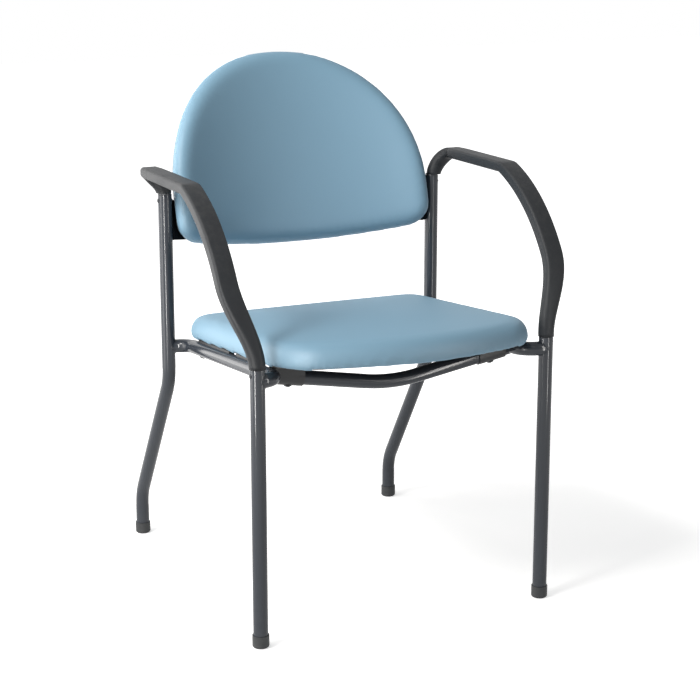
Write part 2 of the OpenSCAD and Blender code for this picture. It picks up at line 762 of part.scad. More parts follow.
module back_screws() {
    color("#2a2c2e") leaned() for (side = [-1, 1]) on_side(side) at_bracket_screws()
        translate([0, bracket_t, 0]) rotate([90, 0, 0])
            round_screw(screw_d, bracket_t + back_stack - screw_short, screw_head_d, screw_head_h);
}

// Arms

// Height of the arm's top face, of its centre line along the flat, and where its sweep is centred
arm_h = upright_h + arm_over;
arm_mid_h = arm_h - arm_t / 2;
sweep_z = arm_mid_h - elbow_r * (1 - cos(elbow_slope)) - arm_front_r * cos(elbow_slope);
sweep_from = asin((front_leg_h - sweep_z) / arm_front_r);
sweep_y = front_leg_y + arm_front_r * cos(sweep_from);
elbow_y = sweep_y - arm_front_r * sin(elbow_slope) + elbow_r * sin(elbow_slope);
neck_low = upright_h + arm_collar_h;
neck_rise = arm_mid_h - neck_low - neck_r;
neck_len = neck_rise + neck_r * PI / 2;

// A smooth step from nought to one
function ease(t) = let (u = min(1, max(0, t))) u * u * (3 - 2 * u);

// The arm's path: place, forward tangent in the side plane and outboard share, front to rear
sweep_count = 15;
elbow_count = 3;
flat_count = 5;
neck_count = 7;
drop_count = 3;
arm_path = concat(
    [for (i = [0:sweep_count - 1])
        let (a = sweep_from + (90 - elbow_slope - sweep_from) * i / (sweep_count - 1))
        let (z = sweep_z + arm_front_r * sin(a))
        [sweep_y - arm_front_r * cos(a), z, i == 0 ? 90 : 90 - a, ease((z - front_leg_h) / arm_flare_h)]],
    [for (i = [1:elbow_count]) let (a = elbow_slope * (1 - i / elbow_count))
        [elbow_y - elbow_r * sin(a), arm_mid_h - elbow_r * (1 - cos(a)), a, 1]],
    [for (i = [1:flat_count - 1]) let (reach = upright_y - neck_r - elbow_y)
        [elbow_y + reach * i / flat_count, arm_mid_h, 0,
            ease((neck_len + reach * (1 - i / flat_count)) / neck_out_l)]],
    [for (i = [0:neck_count - 1]) let (a = 90 * i / (neck_count - 1))
        [upright_y - neck_r * (1 - sin(a)), arm_mid_h - neck_r * (1 - cos(a)), -a,
            ease((neck_rise + neck_r * PI / 180 * (90 - a)) / neck_out_l)]],
    [for (i = [drop_count - 1:-1:0]) let (left = neck_rise * i / drop_count)
        [upright_y, neck_low + left, -90, ease(left / neck_out_l)]]
);
arm_count = len(arm_path);

// Where a station lies
function arm_at(i) = let (p = arm_path[i]) [side_x + arm_out * p[3], p[0], p[1]];

// Distance of a station from one of the arm's ends
function arm_run(end, i) = norm(arm_at(i) - arm_at(end));

// Unit axes of a station's section: across the arm and through its thickness
function arm_axes(i) =
    let (
        a = arm_path[i][2],
        level = i == 0 || i == arm_count - 1,
        step = level ? [0, cos(a), sin(a)] : arm_at(i + 1) - arm_at(i - 1),
        run = step / norm(step),
        across = [1, 0, 0] - run[0] * run,
        wide = across / norm(across)
    )
    [wide, cross(run, wide)];

// A ring of points about a station: half width, half thickness, corner radius and its own place
arm_sides = 16;
function arm_ring(i, half_w, half_t, r, out = 0, fore = 0) =
    let (axes = arm_axes(i), at = arm_at(i) + out * axes[0] + fore * axes[1])
    [for (k = [0:arm_sides - 1]) let (
        a = 360 * (k + 1 / 2) / arm_sides,
        u = sign(cos(a)) * (half_w - r) + r * cos(a),
        v = sign(sin(a)) * (half_t - r) + r * sin(a)
    ) at + u * axes[0] + v * axes[1]];

// The pad's outer ring, round at its ends and flat between them
function arm_pad_ring(i) =
    let (
        front = ease(arm_run(0, i) / arm_blend_l),
        rear = ease(arm_run(arm_count - 1, i) / neck_blend_l),
        flat = min(front, rear),
        thin = min(front, ease(arm_run(arm_count - 1, i) / neck_thin_l)),
        thick = arm_t + (arm_sweep_t - arm_t) * ease(arm_path[i][2] / (2 * elbow_slope)),
        half_w = arm_end_d / 2 * (1 - flat) + arm_w / 2 * flat,
        half_t = arm_end_d / 2 * (1 - thin) + thick / 2 * thin,
        r = min(half_t, half_w, arm_end_d / 2 * (1 - flat) + arm_edge_r * flat)
    )
    arm_ring(i, half_w, half_t, r, neck_out * (1 - rear), neck_fore * (1 - rear));

module arm_pad(side) {
    bore_r = rod_d / 2 + core_clear;
    outer = [for (i = [0:arm_count - 1]) arm_pad_ring(i)];
    inner = [for (i = [arm_count - 1:-1:0]) arm_ring(i, bore_r, bore_r, bore_r)];
    color("#3c3e41") on_side(side) ring_skin(concat(outer, inner, [outer[0]]));
}

// A steel rod through the arm with a spigot for each tube
module arm_core(side) {
    spigot_d = bore_d - 2 * core_clear;
    root = spigot_len / 2;
    first = arm_ring(0, rod_d / 2, rod_d / 2, rod_d / 2);
    last = arm_ring(arm_count - 1, rod_d / 2, rod_d / 2, rod_d / 2);
    color("#5d6166") on_side(side) {
        difference() {
            union() {
                translate([side_x, front_leg_y, front_leg_h - spigot_len])
                    cylinder(d = spigot_d, h = spigot_len);
                translate([side_x, upright_y, upright_h - spigot_len])
                    cylinder(d = spigot_d, h = spigot_len + arm_collar_h);
                translate([side_x, upright_y, upright_h]) cylinder(d = arm_collar_d, h = arm_collar_h);
                capped_skin(
                    arm_at(0) - [0, 0, root],
                    concat(
                        [[for (p = first) p - [0, 0, root]]],
                        [for (i = [0:arm_count - 1]) arm_ring(i, rod_d / 2, rod_d / 2, rod_d / 2)],
                        [[for (p = last) p - [0, 0, root]]]
                    ),
                    arm_at(arm_count - 1) - [0, 0, root]
                );
            }
            for (place = [[front_leg_y, front_leg_h], [upright_y, upright_h]])
                translate([side_x, place[0], place[1] - arm_screw_drop]) rotate([0, 90, 0])
                    cylinder(d = arm_screw_d, h = tube_d, center = true);
        }
    }
}

// Arm screws from outboard, at a tube's Y and end height
module arm_screw_pair(y, end_h, len) {
    for (side = [-1, 1]) on_side(side) translate([side_x + tube_r, y, end_h - arm_screw_drop])
        rotate([0, -90, 0]) round_screw(arm_screw_d, len, arm_screw_head_d, arm_screw_head_h);
}

module arm_front_screws() {
    color("#1f2123") arm_screw_pair(front_leg_y, front_leg_h, tube_d - 2 * tube_wall);
}

// These run right through the uprights, and their tips show inboard
module arm_rear_screws() {
    color("#1f2123") arm_screw_pair(upright_y, upright_h, tube_d + arm_screw_tip);
}

// Drawing

front_leg(-1);  // front_leg_L
front_leg(1);  // front_leg_R
rear_leg(-1);  // rear_leg_L
rear_leg(1);  // rear_leg_R
foot_cap(-1, front_leg_y);  // foot_cap_FL
foot_cap(1, front_leg_y);  // foot_cap_FR
foot_cap(-1, rear_foot_y);  // foot_cap_RL
foot_cap(1, rear_foot_y);  // foot_cap_RR
side_rail(-1);  // side_rail_L
side_rail(1);  // side_rail_R
front_cross_tube();
rear_cross_tube();
front_saddle(-1);  // front_saddle_L
front_saddle(1);  // front_saddle_R
rail_pad(-1, pad_fore, rear_pad_len);  // rear_rail_pad_L
rail_pad(1, pad_fore, rear_pad_len);  // rear_rail_pad_R
rail_pad(-1, front_pad_fore, front_pad_len);  // front_rail_pad_L
rail_pad(1, front_pad_fore, front_pad_len);  // front_rail_pad_R
seat_pan();
seat_screws();
seat_cushion();
back_bracket(-1);  // back_bracket_L
back_bracket(1);  // back_bracket_R
back_shell();
back_board();
back_tee_nuts();
back_screws();
back_cushion();
arm_core(-1);  // arm_core_L
arm_core(1);  // arm_core_R
arm_pad(-1);  // arm_pad_L
arm_pad(1);  // arm_pad_R
arm_front_screws();
arm_rear_screws();
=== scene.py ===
"""Looks of an upholstered guest armchair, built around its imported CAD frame.

The tube frame, its caps, pads and screws are shown as they were packed, with procedural
materials.  The two vinyl cushions, the moulded back shell and the two urethane arms are
finer pieces of the same form, and weld beads close the joints of the side rails with the
legs.
"""

from __future__ import annotations

import json
import logging
import math
from dataclasses import dataclass
from enum import Enum
from typing import Callable, Sequence

import bmesh
import bpy
import numpy as np
from mathutils import Euler, Matrix, Vector, noise

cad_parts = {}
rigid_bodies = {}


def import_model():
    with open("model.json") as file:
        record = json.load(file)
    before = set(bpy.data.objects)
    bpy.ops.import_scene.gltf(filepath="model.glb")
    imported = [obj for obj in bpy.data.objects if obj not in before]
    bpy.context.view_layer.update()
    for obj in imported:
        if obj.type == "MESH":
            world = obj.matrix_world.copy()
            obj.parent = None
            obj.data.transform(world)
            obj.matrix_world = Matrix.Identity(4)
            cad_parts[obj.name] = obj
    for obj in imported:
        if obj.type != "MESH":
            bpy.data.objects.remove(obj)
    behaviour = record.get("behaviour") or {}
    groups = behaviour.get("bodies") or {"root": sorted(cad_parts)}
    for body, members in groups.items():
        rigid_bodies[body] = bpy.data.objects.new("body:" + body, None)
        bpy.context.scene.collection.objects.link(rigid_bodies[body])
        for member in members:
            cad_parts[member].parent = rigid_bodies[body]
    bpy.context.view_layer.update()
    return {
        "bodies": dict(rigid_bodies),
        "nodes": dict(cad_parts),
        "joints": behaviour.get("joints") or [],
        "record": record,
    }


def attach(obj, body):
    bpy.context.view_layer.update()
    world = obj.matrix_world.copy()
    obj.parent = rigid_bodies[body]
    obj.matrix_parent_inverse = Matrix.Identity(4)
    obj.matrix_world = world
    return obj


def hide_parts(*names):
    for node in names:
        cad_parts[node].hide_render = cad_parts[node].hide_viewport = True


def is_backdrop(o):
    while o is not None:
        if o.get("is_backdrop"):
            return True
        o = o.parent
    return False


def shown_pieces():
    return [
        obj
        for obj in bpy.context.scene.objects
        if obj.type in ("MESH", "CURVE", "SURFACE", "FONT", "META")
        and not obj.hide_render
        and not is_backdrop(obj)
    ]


LOG = logging.getLogger("armchair")

MM = 0.001
PHOTO_WIDTH = 700.0
DUST_COLOUR = (0.30, 0.29, 0.27)
Point2 = tuple[float, float]
Colour = tuple[float, float, float]


class Side(Enum):
    """The chair's two sides, with the sign of X on each."""

    LEFT = -1
    RIGHT = 1

    @property
    def letter(self) -> str:
        """The letter that ends the names of this side's CAD nodes."""
        return "L" if self is Side.LEFT else "R"


def ease(t: float) -> float:
    """A smooth step from nought to one.

    Args:
        t: Any number; below nought counts as nought and above one as one.

    Returns:
        The eased value.
    """
    u = min(1.0, max(0.0, t))
    return u * u * (3.0 - 2.0 * u)


def arc(centre: Point2, radius: float, start: float, count: int) -> list[Point2]:
    """Points on a quarter circle, counterclockwise.

    Args:
        centre: Centre of the arc.
        radius: Its radius.
        start: Angle of the first point, in degrees.
        count: Number of points, both ends included.

    Returns:
        The points in order.
    """
    angles = [math.radians(start + 90.0 * i / (count - 1)) for i in range(count)]
    return [(centre[0] + radius * math.cos(a), centre[1] + radius * math.sin(a)) for a in angles]


def fillet(radius: float, steps: int) -> list[Point2]:
    """Points on a rounded edge, by their distances from the two faces that it joins.

    Args:
        radius: Radius of the edge.
        steps: Number of its steps.

    Returns:
        The points in order, each with its distance from the first face and from the second.
    """
    turns = [math.radians(90.0 * i / steps) for i in range(steps + 1)]
    return [(radius * (1 - math.cos(a)), radius * (1 - math.sin(a))) for a in turns]


# Geometry


@dataclass(frozen=True)
class ChairFrame:
    """The CAD frame's driving lengths in millimetres, and the places that follow from them."""

    frame_width: float = 473.0
    frame_depth: float = 386.0
    tube: float = 22.2
    front_leg_height: float = 422.988
    upright_height: float = 616.0
    rear_foot_back: float = 160.0
    foot_cap: float = 25.4
    rail_rear_height: float = 368.0
    pitch: float = 5.4
    pad_height: float = 3.3
    seat_reach: float = 472.0
    seat_low_radius: float = 7.0
    back_height: float = 585.0
    back_behind: float = 52.0
    recline: float = 15.5

    @property
    def pan_height(self) -> float:
        """Local height of the seat pan's underside over the rails' centre lines."""
        return self.tube / 2 + self.pad_height

    @property
    def upright_y(self) -> float:
        """Y of the uprights, with the origin amid the footprint box.

        Returns:
            The place in millimetres.
        """
        pitch = math.radians(self.pitch)
        front = self.seat_reach * math.cos(pitch)
        front -= (self.pan_height + self.seat_low_radius) * math.sin(pitch)
        return (front - self.rear_foot_back - self.foot_cap / 2) / 2

    @property
    def front_leg_y(self) -> float:
        """Y of the front legs."""
        return self.upright_y - self.frame_depth

    @property
    def pitched(self) -> Matrix:
        """The seat's frame, from its own millimetres to the chair's metres."""
        place = Matrix.Translation((0.0, self.upright_y * MM, self.rail_rear_height * MM))
        return place @ Matrix.Rotation(-math.radians(self.pitch), 4, "X") @ Matrix.Scale(MM, 4)

    @property
    def leaned(self) -> Matrix:
        """The back's frame, from its own millimetres to the chair's metres.

        Returns:
            The frame's matrix.
        """
        y = self.upright_y + self.back_behind
        place = Matrix.Translation((0.0, y * MM, self.back_height * MM))
        return place @ Matrix.Rotation(-math.radians(self.recline), 4, "X") @ Matrix.Scale(MM, 4)


FRAME = ChairFrame()


def mesh_object(name: str, mesh: bmesh.types.BMesh) -> bpy.types.Object:
    """Turns a bmesh into a smooth-shaded object at the origin.

    Args:
        name: Name of the piece.
        mesh: The shape in chair metres; it is freed.

    Returns:
        The new object, linked to the scene.
    """
    bmesh.ops.recalc_face_normals(mesh, faces=mesh.faces)
    data = bpy.data.meshes.new(name)
    mesh.to_mesh(data)
    mesh.free()
    data.shade_smooth()
    made = bpy.data.objects.new(name, data)
    bpy.context.scene.collection.objects.link(made)
    return made


def skin(
    mesh: bmesh.types.BMesh,
    rings: Sequence[Sequence[Vector]],
    closed: bool = False,
    caps: tuple[Vector, Vector] | None = None,
) -> None:
    """Lays a skin of quads over rings of points, all with as many points.

    Args:
        mesh: The bmesh to add to.
        rings: The rings in order.
        closed: Whether the last ring joins the first.
        caps: Points that close the two ends, or None to leave them.
    """
    grid = [[mesh.verts.new(p) for p in ring] for ring in rings]
    count = len(grid[0])
    pairs = list(zip(grid, grid[1:])) + ([(grid[-1], grid[0])] if closed else [])
    for low, high in pairs:
        for i in range(count):
            j = (i + 1) % count
            mesh.faces.new((low[i], low[j], high[j], high[i]))
    if caps:
        for point, ring in zip(caps, (grid[0], grid[-1])):
            tip = mesh.verts.new(point)
            for i in range(count):
                mesh.faces.new((tip, ring[i], ring[(i + 1) % count]))


def finished_mesh(source: bpy.types.Object) -> bpy.types.Mesh:
    """The mesh of an object with its modifiers applied.

    Args:
        source: The object.

    Returns:
        A new mesh.
    """
    bpy.context.view_layer.update()
    graph = bpy.context.evaluated_depsgraph_get()
    return bpy.data.meshes.new_from_object(source.evaluated_get(graph))


@dataclass(frozen=True)
class Stuffing:
    """How a cushion's cover is blown out over its foam.

    Attributes:
        voxel: Size of the remeshed faces, in metres.
        pressure: Pressure in the cover while it settles.
        cap: The furthest a point may move, in metres.
        least_share: The least that a free point moves, as a share of the cap.
        frames: Steps of the simulation.
        evening: Rounds that even out how far neighbouring points moved.
        give: How far one such round moves a point's step towards its neighbours' mean.
        relaxing: Rounds that smooth the steps of the voxel mesh away.
    """

    voxel: float = 0.0048
    pressure: float = 4.0
    cap: float = 0.0034
    least_share: float = 0.62
    quick_share: float = 0.8
    frames: int = 20
    evening: int = 60
    give: float = 0.5
    relaxing: int = 3

    def apply(
        self, name: str, block: bpy.types.Object, free: Callable[[Vector], float]
    ) -> bpy.types.Object:
        """Remeshes a block, settles its cover as cloth and subdivides the result.

        Args:
            name: Name of the finished piece.
            block: The starting block, which is removed.
            free: Gives for a point how free the cover is there, from 0 (held) to 1.

        Returns:
            The finished cushion.
        """
        remesh = block.modifiers.new("remesh", "REMESH")
        remesh.mode = "VOXEL"
        remesh.voxel_size = self.voxel
        cover = bpy.data.objects.new(name, finished_mesh(block))
        bpy.context.scene.collection.objects.link(cover)
        bpy.data.objects.remove(block)
        self._relax(cover)
        rest = self._table(cover.data.vertices, "co")
        outward = self._table(cover.data.vertices, "normal")
        loose = np.array([free(Vector(p)) for p in rest])
        moved = self._blown(cover, loose)
        step = ((moved - rest) * outward).sum(axis=1)
        step = np.clip(step, self.cap * self.least_share, self.cap)
        step = self._evened(cover.data, step) * loose
        settled = rest + outward * step[:, None]
        cover.data.vertices.foreach_set("co", settled.astype(np.float32).ravel())
        self._relax(cover)
        smooth = cover.modifiers.new("smooth", "SUBSURF")
        smooth.levels = smooth.render_levels = 1
        fine = finished_mesh(cover)
        cover.modifiers.clear()
        cover.vertex_groups.clear()
        cover.data = fine
        fine.name = name
        fine.shade_smooth()
        return cover

    @staticmethod
    def _table(items: bpy.types.bpy_prop_collection, name: str) -> np.ndarray:
        """A vector property of all vertices.

        Args:
            items: The vertices.
            name: Name of the property.

        Returns:
            Its values as rows.
        """
        flat = np.empty(len(items) * 3, np.float32)
        items.foreach_get(name, flat)
        return flat.reshape(-1, 3).astype(float)

    def _evened(self, mesh: bpy.types.Mesh, step: np.ndarray) -> np.ndarray:
        """Each point's step, averaged over its neighbours again and again.

        Args:
            mesh: The cover's mesh.
            step: How far each point moves.

        Returns:
            The evened steps.
        """
        edges = np.empty(len(mesh.edges) * 2, np.int32)
        mesh.edges.foreach_get("vertices", edges)
        ends = edges.reshape(-1, 2)
        count = np.bincount(edges, minlength=len(step)).astype(float)
        for _ in range(self.evening):
            total = np.bincount(ends[:, 0], weights=step[ends[:, 1]], minlength=len(step))
            total += np.bincount(ends[:, 1], weights=step[ends[:, 0]], minlength=len(step))
            step = (1 - self.give) * step + self.give * total / count
        return step

    def _blown(
        self, cover: bpy.types.Object, loose: np.ndarray
    ) -> np.ndarray:
        """Where the cover's points settle under pressure.

        Args:
            cover: The cover.
            loose: How free each point is, from 0 to 1.

        Returns:
            The settled points.
        """
        held = cover.vertex_groups.new(name="held")
        for index, share in enumerate(loose):
            held.add([index], 1.0 - float(share), "REPLACE")
        cloth = cover.modifiers.new("cloth", "CLOTH")
        cloth.settings.use_pressure = True
        cloth.settings.uniform_pressure_force = self.pressure
        cloth.settings.vertex_group_mass = "held"
        cloth.settings.effector_weights.gravity = 0.0
        scene = bpy.context.scene
        for frame in range(1, self.frames + 1):
            scene.frame_set(frame)
        settled = finished_mesh(cover)
        moved = self._table(settled.vertices, "co")
        bpy.data.meshes.remove(settled)
        cover.modifiers.remove(cloth)
        scene.frame_set(1)
        return moved

    def _relax(self, cover: bpy.types.Object) -> None:
        """Smooths away the steps that a voxel mesh leaves.

        Args:
            cover: The cover, whose mesh is changed.
        """
        mesh = bmesh.new()
        mesh.from_mesh(cover.data)
        axes = {f"use_axis_{axis}": True for axis in "xyz"}
        for _ in range(self.relaxing):
            bmesh.ops.smooth_vert(mesh, verts=mesh.verts, factor=0.5, **axes)
        mesh.to_mesh(cover.data)
        mesh.free()


@dataclass(frozen=True)
class SeatCushion:
    """The seat cushion: a rounded plan with a bowed front, crowned, on its pan.

    Lengths are millimetres in the pitched frame.

    Attributes:
        side_hang: How far the settled cover hangs at the rear and along the rear of the sides.
        front_hang: The hang that it tends to further forward; the front edge has about 2.5.
    """

    width: float = 425.0
    side_depth: float = 408.0
    rear_gap: float = 8.0
    front_bow: float = 56.0
    rear_bow: float = 1.0
    side_draw: float = 1.0
    thickness: float = 37.5
    crown: float = 5.0
    top_radius: float = 22.0
    low_radius: float = 7.0
    front_corner: float = 58.0
    rear_corner: float = 40.0
    pan_margin: float = 9.0
    pan_depth: float = 12.0
    clearance: float = 0.3
    slack: float = 2.4
    side_hang: float = 1.6
    front_hang: float = 3.0
    corner_points: int = 19
    edge_steps: int = 30
    round_steps: int = 6
    crown_rings: int = 12

    @property
    def mid_y(self) -> float:
        """Middle of the plan."""
        return -self.rear_gap - self.side_depth / 2

    def plan(self, inset: float) -> list[Point2]:
        """The plan, drawn in by an inset all round.

        Args:
            inset: How far it is drawn in.

        Returns:
            Points counterclockwise from above, about the plan's middle.
        """
        half_w, half_d = self.width / 2 - inset, self.side_depth / 2 - inset
        rear = max(self.rear_corner - inset, self.low_radius)
        fore = max(self.front_corner - inset, self.low_radius)
        count = self.corner_points
        along = [i / self.edge_steps for i in range(1, self.edge_steps)]
        plain = arc((half_w - rear, half_d - rear), rear, 0.0, count)
        plain += [((half_w - rear) * (1 - 2 * t), half_d) for t in along]
        plain += arc((-half_w + rear, half_d - rear), rear, 90.0, count)
        plain += [(-half_w, (half_d - rear) * (1 - t) - (half_d - fore) * t) for t in along]
        plain += arc((-half_w + fore, -half_d + fore), fore, 180.0, count)
        plain += [((half_w - fore) * (2 * t - 1), -half_d) for t in along]
        plain += arc((half_w - fore, -half_d + fore), fore, 270.0, count)
        plain += [(half_w, -(half_d - fore) * (1 - t) + (half_d - rear) * t) for t in along]
        return [self._bowed(p, half_w, half_d) for p in plain]

    def _bowed(self, point: Point2, half_w: float, half_d: float) -> Point2:
        """Bows the front and rear edges and draws in the sides.

        Args:
            point: A point of the plain plan.
            half_w: Half the plain plan's width.
            half_d: Half its depth.

        Returns:
            The point's place on the bowed plan.
        """
        fore, aft = max(0.0, -point[1] / half_d), max(0.0, point[1] / half_d)
        across = 1 - (point[0] / half_w) ** 2
        along = 1 - (point[1] / half_d) ** 2
        return (
            point[0] * (1 - self.side_draw / (self.width / 2) * along),
            point[1] - self.front_bow * fore * across + self.rear_bow * aft * across,
        )

    def ring(self, inset: float, share: float, height: float) -> list[Vector]:
        """A ring of the plan, in chair metres.

        Args:
            inset: How far the plan is drawn in.
            share: The share of its size that it is shrunk to.
            height: Its height in the pitched frame.

        Returns:
            The ring's points.
        """
        place = FRAME.pitched
        return [
            place @ Vector((x * share, self.mid_y + y * share, height)) for x, y in self.plan(inset)
        ]

    def free(self, height: float) -> float:
        """How free the cover is at a height in the pitched frame, from 0 to 1."""
        return ease((height - FRAME.pan_height) / self.pan_depth)

    def block(self) -> bpy.types.Object:
        """Makes the starting block, a little smaller than the finished cushion.

        Returns:
            The block.
        """
        base = FRAME.pan_height
        top = base + self.thickness - self.slack
        pocket = self.pan_margin - self.clearance
        inner = base + self.pan_depth + self.clearance
        rings = [self.ring(pocket, 1.0, inner), self.ring(pocket, 1.0, base)]
        for rise, inset in fillet(self.low_radius, self.round_steps):
            height = base + rise
            rings.append(self.ring(self.slack * self.free(height) + inset, 1.0, height))
        for inset, drop in fillet(self.top_radius, self.round_steps):
            rings.append(self.ring(self.slack + inset, 1.0, top - drop))
        for step in range(1, self.crown_rings):
            share = 1 - step / self.crown_rings
            crowned = top + self.crown * (1 - share * share)
            rings.append(self.ring(self.slack + self.top_radius, share, crowned))
        mesh = bmesh.new()
        ends = (
            FRAME.pitched @ Vector((0.0, self.mid_y, inner)),
            FRAME.pitched @ Vector((0.0, self.mid_y, top + self.crown)),
        )
        skin(mesh, rings, caps=ends)
        return mesh_object("seat_block", mesh)

    def build(self, stuffing: Stuffing) -> bpy.types.Object:
        """Makes the cushion.

        Args:
            stuffing: How its cover is blown out.

        Returns:
            The piece, which stands for the CAD cushion.
        """
        back = FRAME.pitched.inverted()
        cushion = stuffing.apply("seat_vinyl", self.block(), lambda p: self.free((back @ p).z))
        self._let_hang(cushion)
        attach(cushion, "root")
        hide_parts("seat_cushion")
        return cushion

    def _let_hang(self, cushion: bpy.types.Object) -> None:
        """Lets the lower edge of the settled cover hang, more at the front.

        Args:
            cushion: The cushion, whose mesh is changed.
        """
        back = FRAME.pitched.inverted()
        for vertex in cushion.data.vertices:
            local = back @ vertex.co
            fore = ease((self.mid_y - local.y) / self.side_depth)
            hang = self.side_hang + (self.front_hang - self.side_hang) * fore
            local.z -= (1 - self.free(local.z)) * hang
            vertex.co = FRAME.pitched @ local


@dataclass(frozen=True)
class BackForm:
    """The D-shaped back's outline and hollow, shared by its cushion and its shell.

    Lengths are millimetres in the leaned frame.
    """

    half_width: float = 223.0
    dome_height: float = 247.0
    skirt_height: float = 63.0
    low_bow: float = 10.0
    corner: float = 34.0
    curve: float = 400.0
    fore_depth: float = 20.0
    rear_depth: float = 16.0
    fore_radius: float = 22.0
    rear_radius: float = 12.0
    crown: float = 3.0
    dome_power: float = 0.945
    dome_steps: int = 96
    corner_points: int = 11
    low_steps: int = 30
    side_shares: tuple[float, ...] = (0.2, 0.4, 0.6, 0.8)

    @property
    def mid_height(self) -> float:
        """Middle height of the outline."""
        return (self.dome_height - self.skirt_height) / 2

    def outline(self, inset: float) -> list[Point2]:
        """The outline, drawn in by an inset, as X and the height up the lean.

        Args:
            inset: How far it is drawn in.

        Returns:
            Points counterclockwise as seen from the front.
        """
        half, low = self.half_width - inset, -self.skirt_height + inset
        radius = max(self.corner - inset, self.rear_radius)
        run, rise = half - radius, self.dome_height - inset
        steps, count = self.dome_steps, self.corner_points
        turns = [math.radians(180.0 * i / steps) for i in range(steps + 1)]
        plain = [(half * self._fuller(math.cos(a)), rise * self._fuller(math.sin(a))) for a in turns]
        plain += [(-half, (low + radius) * t) for t in self.side_shares]
        plain += arc((-run, low + radius), radius, 180.0, count)
        plain += [(run * (2 * i / self.low_steps - 1), low) for i in range(1, self.low_steps)]
        plain += arc((run, low + radius), radius, 270.0, count)
        plain += [(half, (low + radius) * t) for t in reversed(self.side_shares)]
        return [
            (x, h if h >= 0 else h - self.low_bow * (1 - (x / half) ** 2) * h / low)
            for x, h in plain
        ]

    def _fuller(self, value: float) -> float:
        """A sine or cosine raised so that the dome is fuller at its shoulders."""
        return math.copysign(abs(value) ** self.dome_power, value)

    def hollow(self, x: float, offset: float) -> float:
        """Y of the surface that lies at an offset in front of the hollow's middle surface."""
        return math.sqrt((self.curve - offset) ** 2 - x * x) - self.curve

    def ring(self, inset: float, share: float, offset: float) -> list[Vector]:
        """A ring of the outline, in chair metres.

        Args:
            inset: How far the outline is drawn in.
            share: The share of its size that it is shrunk to, towards its middle.
            offset: How far in front of the hollow's middle surface it lies.

        Returns:
            The ring's points.
        """
        place = FRAME.leaned
        points = []
        for x, height in self.outline(inset):
            across = x * share
            rise = self.mid_height + (height - self.mid_height) * share
            points.append(place @ Vector((across, self.hollow(across, offset), rise)))
        return points

    def middle(self, offset: float) -> Vector:
        """The middle point of an offset surface, in chair metres."""
        return FRAME.leaned @ Vector((0.0, self.hollow(0.0, offset), self.mid_height))


@dataclass(frozen=True)
class BackCushion:
    """The back cushion, wrapped round the inner board and closed by the shell."""

    form: BackForm = BackForm()
    slack: float = 2.4
    board_margin: float = 14.0
    board_depth: float = 9.0
    clearance: float = 0.3
    round_steps: int = 6
    board_rings: int = 4
    crown_rings: int = 12

    def free(self, offset: float) -> float:
        """How free the cover is at an offset from the middle surface, from 0 to 1."""
        return ease((offset + self.form.rear_depth) / self.form.rear_radius)

    def block(self) -> bpy.types.Object:
        """Makes the starting block, a little smaller than the finished cushion.

        Returns:
            The block.
        """
        form = self.form
        rear = -form.rear_depth
        fore = form.fore_depth - self.slack
        board = self.board_margin - self.clearance
        floor = rear + self.board_depth
        shares = [step / self.board_rings for step in range(1, self.board_rings + 1)]
        rings = [form.ring(board, share, floor) for share in shares]
        rings.append(form.ring(board, 1.0, rear))
        for rise, inset in fillet(form.rear_radius, self.round_steps):
            offset = rear + rise
            rings.append(form.ring(self.slack * self.free(offset) + inset, 1.0, offset))
        for inset, drop in fillet(form.fore_radius, self.round_steps):
            rings.append(form.ring(self.slack + inset, 1.0, fore - drop))
        for step in range(1, self.crown_rings):
            share = 1 - step / self.crown_rings
            crowned = fore + form.crown * (1 - share * share)
            rings.append(form.ring(self.slack + form.fore_radius, share, crowned))
        mesh = bmesh.new()
        skin(mesh, rings, caps=(form.middle(floor), form.middle(fore + form.crown)))
        return mesh_object("back_block", mesh)

    def build(self, stuffing: Stuffing) -> bpy.types.Object:
        """Makes the cushion.

        Args:
            stuffing: How its cover is blown out.

        Returns:
            The piece, which stands for the CAD cushion.
        """
        form, back = self.form, FRAME.leaned.inverted()

        def free(point: Vector) -> float:
            """How free the cover is at a point in chair metres, from 0 to 1."""
            local = back @ point
            return self.free(form.curve - math.hypot(local.x, local.y + form.curve))

        cushion = stuffing.apply("back_vinyl", self.block(), free)
        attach(cushion, "root")
        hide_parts("back_cushion")
        return cushion


@dataclass(frozen=True)
class BackShell:
    """The moulded shell behind the back cushion, with a rounded rim."""

    form: BackForm = BackForm()
    margin: float = 6.0
    depth: float = 4.0
    clearance: float = 0.3
    rim: float = 1.6
    rim_steps: int = 4
    fore_rings: int = 8
    rear_rings: int = 12

    def build(self) -> bpy.types.Object:
        """Makes the shell.

        Returns:
            The piece, which stands for the CAD shell.
        """
        form, inner = self.form, self.margin + self.rim
        fore = -form.rear_depth - self.clearance
        rear = fore - self.depth
        steps = range(self.fore_rings - 1, 0, -1)
        rings = [form.ring(inner, 1 - step / self.fore_rings, fore) for step in steps]
        for drop, inset in fillet(self.rim, self.rim_steps):
            rings.append(form.ring(self.margin + inset, 1.0, fore - drop))
        for inset, rise in fillet(self.rim, self.rim_steps):
            rings.append(form.ring(self.margin + inset, 1.0, rear + rise))
        steps = range(1, self.rear_rings)
        rings += [form.ring(inner, 1 - step / self.rear_rings, rear) for step in steps]
        mesh = bmesh.new()
        skin(mesh, rings, caps=(form.middle(fore), form.middle(rear)))
        shell = mesh_object("back_shell_moulded", mesh)
        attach(shell, "root")
        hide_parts("back_shell")
        return shell


@dataclass(frozen=True)
class Station:
    """A place on the arm's path.

    Attributes:
        y: Place along the chair, in millimetres.
        z: Height.
        slope: Climb of the path there, in degrees.
        out: Share of the arm's outboard throw.
    """

    y: float
    z: float
    slope: float
    out: float


